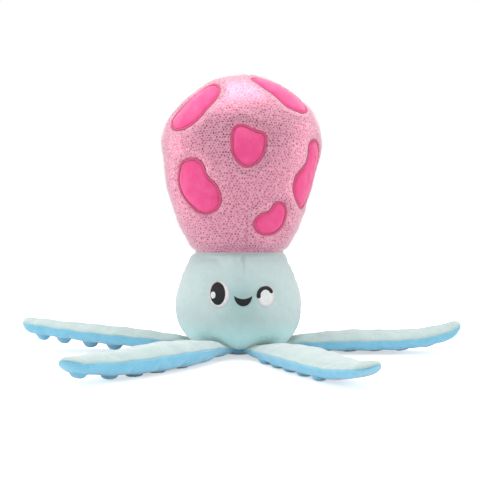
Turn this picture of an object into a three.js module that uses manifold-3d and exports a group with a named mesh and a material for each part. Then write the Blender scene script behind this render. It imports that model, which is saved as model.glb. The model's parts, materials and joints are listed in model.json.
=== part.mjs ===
import * as THREE from "three";
import { mergeVertices } from "three/addons/utils/BufferGeometryUtils.js";
import Module from "manifold-3d";

// A stuffed toy squid that sits on its base with six arms spread over the floor.
// Millimetres, +Z up, face toward -Y, origin at the centre of the base, on the floor.
// Every sewn cover is a shell round a loose stuffing. The arms are sewn to the base's six sides.

// Fabric and sewing
const FABRIC = 2; // wall of a sewn cover
const CLEARANCE = 0.3; // left between pieces that touch
const STUFFING_GAP = 0.6; // left between a cover and its stuffing
const SPOT_FABRIC = 1.2; // velvet spot sewn on the mantle
const STITCHING = 0.6; // one embroidered layer of the face

// Base panel, a shallow cup with six sides
const BASE_HEIGHT = 11.6;
const BASE_WIDTH = 68; // across two opposite sides
const BASE_FLOOR_WIDTH = 56; // flat part that rests on the floor
const BASE_SKIRT = 4; // height of the slope round the floor
const BASE_SIDE_SPARE = 1; // a side's length past each edge of the arm on it

// Head, from the base up to the neck
const HEAD_HEIGHT = 88.6;
const HEAD_WIDEST_RISE = 37.6; // above the head's lower edge
const HEAD_WIDTH = 124;
const HEAD_DEPTH = 116;
const HEAD_RIM_WIDTH = 72;
const HEAD_SQUARENESS = 2; // of a section: 2 is an ellipse, more is squarer

// Neck, the seam of head and mantle
const NECK_WIDTH = 87;
const NECK_DEPTH = 80;

// Mantle, from the neck up to the crown
const MANTLE_HEIGHT = 175.5;
const MANTLE_WIDEST_RISE = 110; // above the neck
const MANTLE_WIDTH = 158;
const MANTLE_DEPTH = 122;
const MANTLE_SQUARENESS = 2.2;
const MANTLE_LEAN = 5; // of the crown toward +X

// How far the outlines of head and mantle run on before they bend away
const CHIN_RUN = 20; // outward from the head's lower edge
const CHEEK_RUN = 22; // below the head's widest line
const TEMPLE_RUN = 15; // above it
const NAPE_RUN = { inward: 8, rise: 16 }; // from the head into the neck
const COLLAR_RUN = { sideways: 16, deep: 9, rise: 25 }; // from the neck into the mantle
const WAIST_RUN = 38; // below the mantle's widest line
const SHOULDER_RUN = 32; // above it
const CROWN_RUN = 30; // outward from the crown

// Arms
const ARM_LENGTH = 186; // along the floor, from the base to the tip
const ARM_ROOT_WIDTH = 31;
const ARM_ROOT_THICKNESS = 4; // both covers sewn flat
const ARM_ROOT_Z = 4.5; // underside of the root above the floor
const ARM_ROOT_GAP = 0.5; // from the base, so that the root can swing
const ARM_WIDTH = 46;
const ARM_THICKNESS = 20;
const ARM_TIP_WIDTH = 22;
const ARM_TIP_THICKNESS = 14;
const ARM_WIDEST = 84; // from the base
const ARM_TIP_ROUND = 9; // length of the rounded tip
const ARM_SWELL_POWER = 1.3; // how late the arm swells toward its widest place
const ARM_TAPER_POWER = 1.7; // how late it narrows toward its tip
const ARM_EMPTY_ROOT = 32; // unstuffed, so that the arm can fold at its seam
const HOLLOW_SHARE = 0.25; // stays hollow where an arm is thinner than its two covers

// Suckers under the arms
const SUCKER_HEIGHT = 3;
const SUCKER_WIDTH = 12;
const SUCKER_TIP_WIDTH = 8.6; // the last sucker
const SUCKER_START = 50; // first one, from the base
const SUCKER_PITCH = 26;
const SUCKER_TAPER = 0.72; // its end's width over its own
const SUCKER_SINK = 1.2; // sewn into the cover

// Each arm leaves one side of the base, square to it. Its tip turns sideways by an angle and lifts by
// millimetres, and the higher the power, the later along the arm it does so. Angles are in degrees.
const ARMS = {
  arm_right: { sideAngle: 0, turnAngle: -4, turnPower: 2, lift: 13.5, liftPower: 3.8 },
  arm_rear_right: { sideAngle: 60, turnAngle: 46, turnPower: 0.9, lift: 3, liftPower: 3 },
  arm_rear_left: { sideAngle: 120, turnAngle: -46, turnPower: 0.9, lift: 3, liftPower: 3 },
  arm_left: { sideAngle: 180, turnAngle: -9, turnPower: 1, lift: 19, liftPower: 2 },
  arm_front_left: { sideAngle: 240, turnAngle: -18, turnPower: 1, lift: 9, liftPower: 5 },
  arm_front_right: { sideAngle: 300, turnAngle: -8, turnPower: 0.6, lift: 13, liftPower: 5 },
};

// Velvet spots: direction, share of the way from the neck to the crown, size, turn and bend
const SPOTS = {
  spot_front: { sideAngle: 277, share: 0.435, length: 41, width: 34, turnAngle: 118, bendAngle: 38 },
  spot_front_left: { sideAngle: 235, share: 0.28, length: 55, width: 36, turnAngle: 116, bendAngle: 50 },
  spot_front_right: { sideAngle: 302, share: 0.155, length: 34, width: 21, turnAngle: 45, bendAngle: -60 },
  spot_right: { sideAngle: 336, share: 0.33, length: 64, width: 36, turnAngle: 78, bendAngle: -55 },
  spot_crown_left: { sideAngle: 228, share: 0.645, length: 58, width: 34, turnAngle: 50, bendAngle: 12 },
  spot_crown_right: { sideAngle: 336, share: 0.75, length: 62, width: 34, turnAngle: 138, bendAngle: 12 },
  spot_back: { sideAngle: 92, share: 0.55, length: 50, width: 34, turnAngle: 60, bendAngle: 50 },
  spot_back_left: { sideAngle: 140, share: 0.34, length: 52, width: 30, turnAngle: 110, bendAngle: 45 },
  spot_back_right: { sideAngle: 52, share: 0.3, length: 44, width: 28, turnAngle: 40, bendAngle: -45 },
  spot_back_low: { sideAngle: 100, share: 0.15, length: 32, width: 20, turnAngle: 150, bendAngle: 30 },
};

// Face, seen from the front: sideways from the middle, and above the head's widest line
const EYE = { x: -18.6, rise: 12.5, width: 17.4, height: 24.8 };
const PUPIL = { x: -20.4, rise: 13.3, width: 14.7, height: 22.5 };
const GLINT = { x: -24.4, rise: 12.2, width: 5, height: 7.3 };
const WINK = { x: 24.4, rise: 12.2, width: 16.2, height: 20 };
const ARCH = { x: 24.2, rise: 12.4, width: 15, height: 12.4, stroke: 4 };
const ARCH_LEFT_ANGLE = 194; // where its feet end, counterclockwise from +X
const ARCH_RIGHT_ANGLE = 11;
const MOUTH = { x: 3.9, rise: 11.2, width: 17.3, height: 9.8, sag: 3.2 };

// Facets
const BODY_COLUMNS = 24;
const STUFFING_COLUMNS = 12;
const MANTLE_ROWS = 12;
const HEAD_ROWS = 8;
const ARM_STEPS = 8;
const ARM_TIP_ANGLES = [30, 60, 82]; // degrees round the tip
const ARM_ARC_STEPS = 5; // round half of an arm's section
const SUCKER_SIDES = 8;
const SPOT_POINTS = 18;
const OUTLINE_SEGMENTS = 10; // to each curve of a stitched shape

// Heights that follow
const HEAD_RIM_Z = BASE_HEIGHT + CLEARANCE;
const HEAD_WIDEST_Z = HEAD_RIM_Z + HEAD_WIDEST_RISE;
const NECK_Z = HEAD_RIM_Z + HEAD_HEIGHT;

const wasm = await Module();
wasm.setup();

// Solids that can be joined and cut

function toSolid(geometry) {
  const bare = geometry.clone();
  bare.deleteAttribute("normal");
  bare.deleteAttribute("uv");
  const merged = mergeVertices(bare, 1e-4);
  return new wasm.Manifold(
    new wasm.Mesh({
      numProp: 3,
      vertProperties: merged.attributes.position.array,
      triVerts: new Uint32Array(merged.index.array),
    }),
  );
}

function toGeometry(solid) {
  const mesh = solid.getMesh();
  const geometry = new THREE.BufferGeometry();
  geometry.setAttribute("position", new THREE.BufferAttribute(mesh.vertProperties, 3));
  geometry.setIndex(new THREE.BufferAttribute(mesh.triVerts, 1));
  geometry.computeVertexNormals();
  return geometry;
}

function signedVolume(points, faces) {
  let six = 0;
  for (let i = 0; i < faces.length; i += 3) {
    const [a, b, c] = [points[faces[i]], points[faces[i + 1]], points[faces[i + 2]]];
    six += a.dot(b.clone().cross(c));
  }
  return six / 6;
}

// A closed body through rings of equal counts. An end closes on its pole, or flat, rung by rung,
// which pairs the first half of the ring with the second and so also fits a C-shaped section.
function loft(rings, { startPole, endPole, looped = false } = {}) {
  const count = rings[0].length;
  const points = rings.flat();
  const faces = [];
  const at = (ring, i) => (ring % rings.length) * count + (i % count);
  const bands = looped ? rings.length : rings.length - 1;
  for (let ring = 0; ring < bands; ring++) {
    for (let i = 0; i < count; i++) {
      faces.push(at(ring, i), at(ring, i + 1), at(ring + 1, i + 1));
      faces.push(at(ring, i), at(ring + 1, i + 1), at(ring + 1, i));
    }
  }
  const close = (ring, pole, order) => {
    const face = (...corners) => faces.push(...order.map((k) => corners[k]));
    if (pole) points.push(pole);
    for (let i = 0; pole && i < count; i++) {
      face(at(ring, i), at(ring, i + 1), points.length - 1);
    }
    for (let i = 0; !pole && i < count / 2 - 1; i++) {
      const j = count - 1 - i;
      face(at(ring, i), at(ring, i + 1), at(ring, j - 1));
      face(at(ring, i), at(ring, j - 1), at(ring, j));
    }
  };
  if (!looped) {
    close(0, startPole, [2, 1, 0]);
    close(rings.length - 1, endPole, [0, 1, 2]);
  }
  if (signedVolume(points, faces) < 0) faces.reverse();
  const geometry = new THREE.BufferGeometry().setFromPoints(points);
  geometry.setIndex(faces);
  geometry.computeVertexNormals();
  return geometry;
}

// The skin of the head or the mantle. Half width, half depth and height follow one curve from
// bottom (v = 0) to top (v = 1), and u turns round each section from +X toward +Y.
class Skin {
  constructor(curves, squareness, lean) {
    this.path = new THREE.CurvePath();
    curves.forEach((curve) => this.path.add(curve));
    this.squareness = squareness;
    this.lean = lean;
    this.rise = curves.at(-1).v3.z - curves[0].v0.z;
  }

  point(u, v) {
    const half = this.path.getPoint(v);
    const [c, s] = [Math.cos(u), Math.sin(u)];
    const n = this.squareness;
    const r = (Math.abs(c) ** n + Math.abs(s) ** n) ** (-1 / n);
    const shift = (this.lean * (half.z - this.path.curves[0].v0.z)) / this.rise;
    return new THREE.Vector3(half.x * r * c + shift, half.y * r * s, half.z);
  }

  normal(u, v) {
    const step = 1e-3;
    const near = THREE.MathUtils.clamp(v, 2 * step, 1 - 2 * step);
    const along = this.point(u, near + step).sub(this.point(u, near - step));
    const round = this.point(u + step, near).sub(this.point(u - step, near));
    return round.cross(along).normalize();
  }

  // The point at a distance outside the skin, or inside where the distance is negative
  offset(u, v, distance) {
    return this.point(u, v).addScaledVector(this.normal(u, v), distance);
  }

  ring(v, columns, distance) {
    const turns = Array.from({ length: columns }, (_, i) => (2 * Math.PI * i) / columns);
    return turns.map((u) => this.offset(u, v, distance));
  }

  rings(rows, columns, distance) {
    return Array.from({ length: rows + 1 }, (_, i) => this.ring(i / rows, columns, distance));
  }
}

function halfSize(width, depth, z) {
  return new THREE.Vector3(width / 2, depth / 2, z);
}

const neck = halfSize(NECK_WIDTH, NECK_DEPTH, NECK_Z);
const headRim = halfSize(HEAD_RIM_WIDTH, (HEAD_RIM_WIDTH * HEAD_DEPTH) / HEAD_WIDTH, HEAD_RIM_Z);
const headWidest = halfSize(HEAD_WIDTH, HEAD_DEPTH, HEAD_WIDEST_Z);
const mantleWidest = halfSize(MANTLE_WIDTH, MANTLE_DEPTH, NECK_Z + MANTLE_WIDEST_RISE);
const crown = halfSize(0, 0, NECK_Z + MANTLE_HEIGHT);

// A curve between two heights that leaves one and arrives at the other along the given runs
function swell(from, leave, arrive, to) {
  return new THREE.CubicBezierCurve3(from, from.clone().add(leave), to.clone().sub(arrive), to);
}

function run(sideways, deep, rise) {
  return new THREE.Vector3(sideways, deep, rise);
}

const napeRun = run(-NAPE_RUN.inward, -NAPE_RUN.inward, NAPE_RUN.rise);
const collarRun = run(COLLAR_RUN.sideways, COLLAR_RUN.deep, COLLAR_RUN.rise);
const headSkin = new Skin(
  [
    swell(headRim, run(CHIN_RUN, CHIN_RUN, 0), run(0, 0, CHEEK_RUN), headWidest),
    swell(headWidest, run(0, 0, TEMPLE_RUN), napeRun, neck),
  ],
  HEAD_SQUARENESS,
  0,
);
const mantleSkin = new Skin(
  [
    swell(neck, collarRun, run(0, 0, WAIST_RUN), mantleWidest),
    swell(mantleWidest, run(0, 0, SHOULDER_RUN), run(-CROWN_RUN, -CROWN_RUN, 0), crown),
  ],
  MANTLE_SQUARENESS,
  MANTLE_LEAN,
);

// The head's cover is open at both ends, so its rings loop: up outside and down inside.
function tubeLayer(skin, rows, inner, outer) {
  const outside = skin.rings(rows, BODY_COLUMNS, outer);
  const inside = skin.rings(rows, BODY_COLUMNS, inner).reverse();
  return loft([...outside, ...inside], { looped: true });
}

// The mantle's cover closes at the crown: its rings run down outside from one pole and up to the other
function domeLayer(skin, rows, inner, outer) {
  const outside = skin.rings(rows, BODY_COLUMNS, outer).slice(0, -1).reverse();
  const inside = skin.rings(rows, BODY_COLUMNS, inner).slice(0, -1);
  const startPole = skin.offset(0, 1, outer);
  const endPole = skin.offset(0, 1, inner);
  return loft([...outside, ...inside], { startPole, endPole });
}

// Covers and stuffing of the body

function frontAndBack(cover) {
  const seam = CLEARANCE / 2;
  return [cover.trimByPlane([0, -1, 0], seam), cover.trimByPlane([0, 1, 0], seam)];
}

function baseRing(width, z) {
  const apothem = width / 2;
  const halfSide = ((ARM_ROOT_WIDTH / 2 + BASE_SIDE_SPARE) * width) / BASE_WIDTH;
  const ring = [];
  for (const { sideAngle } of Object.values(ARMS)) {
    const turn = THREE.MathUtils.degToRad(sideAngle);
    for (const y of [-halfSide, halfSide]) {
      ring.push(new THREE.Vector3(apothem, y, z).applyAxisAngle(new THREE.Vector3(0, 0, 1), turn));
    }
  }
  return ring;
}

// Outside up to the rim, then down inside
function baseCup() {
  return loft([
    baseRing(BASE_FLOOR_WIDTH, 0),
    baseRing(BASE_WIDTH, BASE_SKIRT),
    baseRing(BASE_WIDTH, BASE_HEIGHT),
    baseRing(BASE_WIDTH - 2 * FABRIC, BASE_HEIGHT),
    baseRing(BASE_WIDTH - 2 * FABRIC, BASE_SKIRT + FABRIC / 2),
    baseRing(BASE_FLOOR_WIDTH - FABRIC, FABRIC),
  ]);
}

// Stuffing keeps clear of the cover round it, and the head's reaches down through the base's rim.
function headStuffing() {
  const wall = FABRIC + STUFFING_GAP;
  const ball = toSolid(loft(headSkin.rings(HEAD_ROWS / 2, STUFFING_COLUMNS, -wall)));
  const plug = loft([
    baseRing(BASE_FLOOR_WIDTH - 2 * wall, wall),
    baseRing(BASE_WIDTH - 3 * wall, BASE_SKIRT + wall),
    baseRing(BASE_WIDTH - 4 * wall, BASE_HEIGHT),
    baseRing(BASE_WIDTH - 5 * wall, BASE_HEIGHT + 2 * wall),
  ]);
  return ball.add(toSolid(plug));
}

function mantleStuffing() {
  const inset = -FABRIC - STUFFING_GAP;
  const rings = mantleSkin.rings(MANTLE_ROWS / 2, STUFFING_COLUMNS, inset).slice(0, -1);
  return loft(rings, { endPole: mantleSkin.offset(0, 1, inset) });
}

// Spots and face: an outline, pushed through a thin layer that follows the skin

function prism(outline, frame, reach) {
  const settings = { depth: 2 * reach, bevelEnabled: false, curveSegments: OUTLINE_SEGMENTS };
  const geometry = new THREE.ExtrudeGeometry(outline, settings);
  geometry.translate(0, 0, -reach);
  geometry.applyMatrix4(frame);
  return toSolid(geometry);
}

// An ellipse whose long axis is bent into an arc, as a kidney is
function bean(length, width, bendAngle) {
  const radius = length / THREE.MathUtils.degToRad(bendAngle);
  const points = [];
  for (let i = 0; i < SPOT_POINTS; i++) {
    const turn = (2 * Math.PI * i) / SPOT_POINTS;
    const across = radius + (width / 2) * Math.sin(turn);
    const swing = ((length / 2) * Math.cos(turn)) / radius;
    points.push(new THREE.Vector2(across * Math.sin(swing), across * Math.cos(swing) - radius));
  }
  return new THREE.Shape(points);
}

function spot({ sideAngle, share, length, width, turnAngle, bendAngle }, layer) {
  const u = THREE.MathUtils.degToRad(sideAngle);
  const out = mantleSkin.normal(u, share);
  const right = new THREE.Vector3(-Math.sin(u), Math.cos(u), 0).projectOnPlane(out).normalize();
  const up = out.clone().cross(right);
  const frame = new THREE.Matrix4().makeBasis(right, up, out).setPosition(mantleSkin.point(u, share));
  frame.multiply(new THREE.Matrix4().makeRotationZ(THREE.MathUtils.degToRad(turnAngle)));
  return layer.intersect(prism(bean(length, width, bendAngle), frame, length / 2));
}

function faceFrame({ x, rise }) {
  const frame = new THREE.Matrix4().makeRotationX(Math.PI / 2);
  return frame.setPosition(x, -HEAD_DEPTH / 2, HEAD_WIDEST_Z + rise);
}

function oval({ width, height }) {
  const shape = new THREE.Shape();
  shape.absellipse(0, 0, width / 2, height / 2, 0, 2 * Math.PI);
  return shape;
}

// An arch of one stroke, whose left foot can end lower than its right one
function arch({ width, height, stroke }) {
  const [left, right] = [ARCH_LEFT_ANGLE, ARCH_RIGHT_ANGLE].map(THREE.MathUtils.degToRad);
  const shape = new THREE.Shape();
  shape.absellipse(0, 0, width / 2, (height + stroke) / 2, right, left);
  shape.absellipse(0, 0, width / 2 - stroke, (height - stroke) / 2, left, right, true);
  return shape;
}

// A smile: a half oval under a lip that sags
function smile({ width, height, sag }) {
  const shape = new THREE.Shape();
  shape.moveTo(width / 2, 0);
  shape.quadraticCurveTo(0, -2 * sag, -width / 2, 0);
  shape.absellipse(0, 0, width / 2, height, Math.PI, 2 * Math.PI);
  return shape;
}

// Arms: stations along the floor carry the section's place, width and thickness

function sizeAlong(distance, root, widest, tip) {
  if (distance < ARM_WIDEST) {
    const share = Math.sin((Math.PI / 2) * (distance / ARM_WIDEST)) ** ARM_SWELL_POWER;
    return root + (widest - root) * share;
  }
  const beyond = (distance - ARM_WIDEST) / (ARM_LENGTH - ARM_WIDEST);
  return widest + (tip - widest) * beyond ** ARM_TAPER_POWER;
}

function stationDistances() {
  const straight = ARM_LENGTH - ARM_TIP_ROUND;
  const body = Array.from({ length: ARM_STEPS + 1 }, (_, i) => (straight * i) / ARM_STEPS);
  const rounding = ARM_TIP_ANGLES.map((angle) => {
    return straight + ARM_TIP_ROUND * Math.sin(THREE.MathUtils.degToRad(angle));
  });
  return [...body, ...rounding];
}

// How much of its size a section keeps where the tip rounds off
function tipShare(distance) {
  const into = Math.max(0, distance - (ARM_LENGTH - ARM_TIP_ROUND)) / ARM_TIP_ROUND;
  return Math.sqrt(Math.max(0, 1 - into ** 2));
}

function stations({ turnAngle, turnPower, lift, liftPower }) {
  const fullTurn = THREE.MathUtils.degToRad(turnAngle);
  const heading = (distance) => fullTurn * (distance / ARM_LENGTH) ** turnPower;
  const place = new THREE.Vector2(BASE_WIDTH / 2 + ARM_ROOT_GAP, 0);
  let before = 0;
  return stationDistances().map((distance) => {
    const direction = heading((before + distance) / 2);
    place.x += (distance - before) * Math.cos(direction);
    place.y += (distance - before) * Math.sin(direction);
    before = distance;
    const share = distance / ARM_LENGTH;
    const fullWidth = sizeAlong(distance, ARM_ROOT_WIDTH, ARM_WIDTH, ARM_TIP_WIDTH);
    const fullThickness = sizeAlong(distance, ARM_ROOT_THICKNESS, ARM_THICKNESS, ARM_TIP_THICKNESS);
    const settled = Math.min(1, distance / SUCKER_START);
    const lowest = THREE.MathUtils.lerp(ARM_ROOT_Z, SUCKER_HEIGHT, settled) + lift * share ** liftPower;
    return {
      distance,
      centre: new THREE.Vector3(place.x, place.y, lowest + fullThickness / 2),
      sideways: new THREE.Vector3(-Math.sin(heading(distance)), Math.cos(heading(distance)), 0),
      halfWidth: (tipShare(distance) * fullWidth) / 2,
      halfThickness: (tipShare(distance) * fullThickness) / 2,
    };
  });
}

function onSection({ centre, sideways }, across, height) {
  const point = centre.clone().addScaledVector(sideways, across);
  point.z += height;
  return point;
}

// Half of an arm's cover: a C-shaped section with its open side on the seam, side +1 above and -1 below
function armCover(path, side) {
  const seam = CLEARANCE / 2;
  const rings = path.map((station) => {
    const arc = (halfWidth, halfThickness) =>
      Array.from({ length: ARM_ARC_STEPS + 1 }, (_, i) => {
        const turn = (Math.PI * i) / ARM_ARC_STEPS;
        const height = seam + Math.max(halfThickness - seam, seam) * Math.sin(turn);
        return onSection(station, halfWidth * Math.cos(turn), side * height);
      });
    const hollow = (half) => Math.max(half - FABRIC, HOLLOW_SHARE * half);
    const outside = arc(station.halfWidth, station.halfThickness);
    const inside = arc(hollow(station.halfWidth), hollow(station.halfThickness));
    return [...outside, ...inside.reverse()];
  });
  return loft(rings);
}

function armStuffing(path) {
  const inset = FABRIC + STUFFING_GAP;
  const filled = path.filter(({ distance }) => {
    return distance >= ARM_EMPTY_ROOT && distance <= ARM_LENGTH - ARM_TIP_ROUND;
  });
  const rings = filled.map((station) =>
    Array.from({ length: 2 * ARM_ARC_STEPS }, (_, i) => {
      const turn = (Math.PI * i) / ARM_ARC_STEPS;
      const across = (station.halfWidth - inset) * Math.cos(turn);
      return onSection(station, across, (station.halfThickness - inset) * Math.sin(turn));
    }),
  );
  return loft(rings);
}

// The arm's middle line at any distance, between its two nearest stations
function stationAt(path, distance) {
  const next = Math.max(1, path.findIndex((station) => station.distance >= distance));
  const [a, b] = [path[next - 1], path[next]];
  const share = (distance - a.distance) / (b.distance - a.distance);
  return {
    centre: a.centre.clone().lerp(b.centre, share),
    halfThickness: THREE.MathUtils.lerp(a.halfThickness, b.halfThickness, share),
  };
}

function sucker(path, distance) {
  const { centre, halfThickness } = stationAt(path, distance);
  const share = (distance - SUCKER_START) / (ARM_LENGTH - SUCKER_START);
  const width = THREE.MathUtils.lerp(SUCKER_WIDTH, SUCKER_TIP_WIDTH, share);
  const height = SUCKER_HEIGHT + SUCKER_SINK;
  const endRadius = (SUCKER_TAPER * width) / 2;
  const geometry = new THREE.CylinderGeometry(width / 2, endRadius, height, SUCKER_SIDES);
  geometry.rotateX(Math.PI / 2);
  geometry.translate(centre.x, centre.y, centre.z - halfThickness + SUCKER_SINK - height / 2);
  return toSolid(geometry);
}

function armUnderside(path) {
  let cover = toSolid(armCover(path, -1));
  const last = ARM_LENGTH - ARM_TIP_ROUND - SUCKER_TIP_WIDTH / 2;
  for (let distance = SUCKER_START; distance < last; distance += SUCKER_PITCH) {
    cover = cover.add(sucker(path, distance));
  }
  return cover;
}

// The toy

function fabric(color, roughness, metalness = 0) {
  return new THREE.MeshStandardMaterial({ color, roughness, metalness, flatShading: true });
}

const GLITTER = fabric(0xc87f9c, 0.5, 0.3);
const VELVET = fabric(0xe7578c, 0.9);
const PALE = fabric(0xc6dadc, 0.95);
const BLUE = fabric(0x9acfe4, 0.95);
const STUFFING = fabric(0xf2f2ee, 1);
const BLACK_THREAD = fabric(0x1e2624, 0.6);
const WHITE_THREAD = fabric(0xe4e8e8, 0.6);

const squid = new THREE.Group();

function put(parent, name, shape, material) {
  const mesh = new THREE.Mesh(shape.isBufferGeometry ? shape : toGeometry(shape), material);
  mesh.name = name;
  parent.add(mesh);
}

const [mantleFront, mantleBack] = frontAndBack(toSolid(domeLayer(mantleSkin, MANTLE_ROWS, -FABRIC, 0)));
put(squid, "mantle_front", mantleFront, GLITTER);
put(squid, "mantle_back", mantleBack, GLITTER);
put(squid, "mantle_stuffing", mantleStuffing(), STUFFING);

const [headFront, headBack] = frontAndBack(toSolid(tubeLayer(headSkin, HEAD_ROWS, -FABRIC, 0)));
put(squid, "head_front", headFront, PALE);
put(squid, "head_back", headBack, PALE);
put(squid, "head_stuffing", headStuffing(), STUFFING);
put(squid, "base_panel", baseCup(), BLUE);

const spotLayer = toSolid(domeLayer(mantleSkin, MANTLE_ROWS, CLEARANCE, CLEARANCE + SPOT_FABRIC));
for (const [name, place] of Object.entries(SPOTS)) {
  put(squid, name, spot(place, spotLayer), VELVET);
}

// Embroidered layers, each on the one below
const threadLayer = (level) => {
  const bottom = CLEARANCE + level * (STITCHING + CLEARANCE);
  return toSolid(tubeLayer(headSkin, HEAD_ROWS, bottom, bottom + STITCHING));
};
const FACE = [
  { name: "eye_white", outline: oval(EYE), at: EYE, level: 0, thread: WHITE_THREAD },
  { name: "eye_pupil", outline: oval(PUPIL), at: PUPIL, level: 1, thread: BLACK_THREAD },
  { name: "eye_glint", outline: oval(GLINT), at: GLINT, level: 2, thread: WHITE_THREAD },
  { name: "wink_white", outline: oval(WINK), at: WINK, level: 0, thread: WHITE_THREAD },
  { name: "wink_arch", outline: arch(ARCH), at: ARCH, level: 1, thread: BLACK_THREAD },
  { name: "mouth", outline: smile(MOUTH), at: MOUTH, level: 0, thread: BLACK_THREAD },
];
for (const { name, outline, at, level, thread } of FACE) {
  put(squid, name, threadLayer(level).intersect(prism(outline, faceFrame(at), HEAD_DEPTH / 3)), thread);
}

for (const [name, arm] of Object.entries(ARMS)) {
  const group = new THREE.Group();
  group.rotation.z = THREE.MathUtils.degToRad(arm.sideAngle);
  const path = stations(arm);
  put(group, `${name}_upper`, armCover(path, 1), PALE);
  put(group, `${name}_underside`, armUnderside(path), BLUE);
  put(group, `${name}_stuffing`, armStuffing(path), STUFFING);
  squid.add(group);
}

export default squid;
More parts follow.
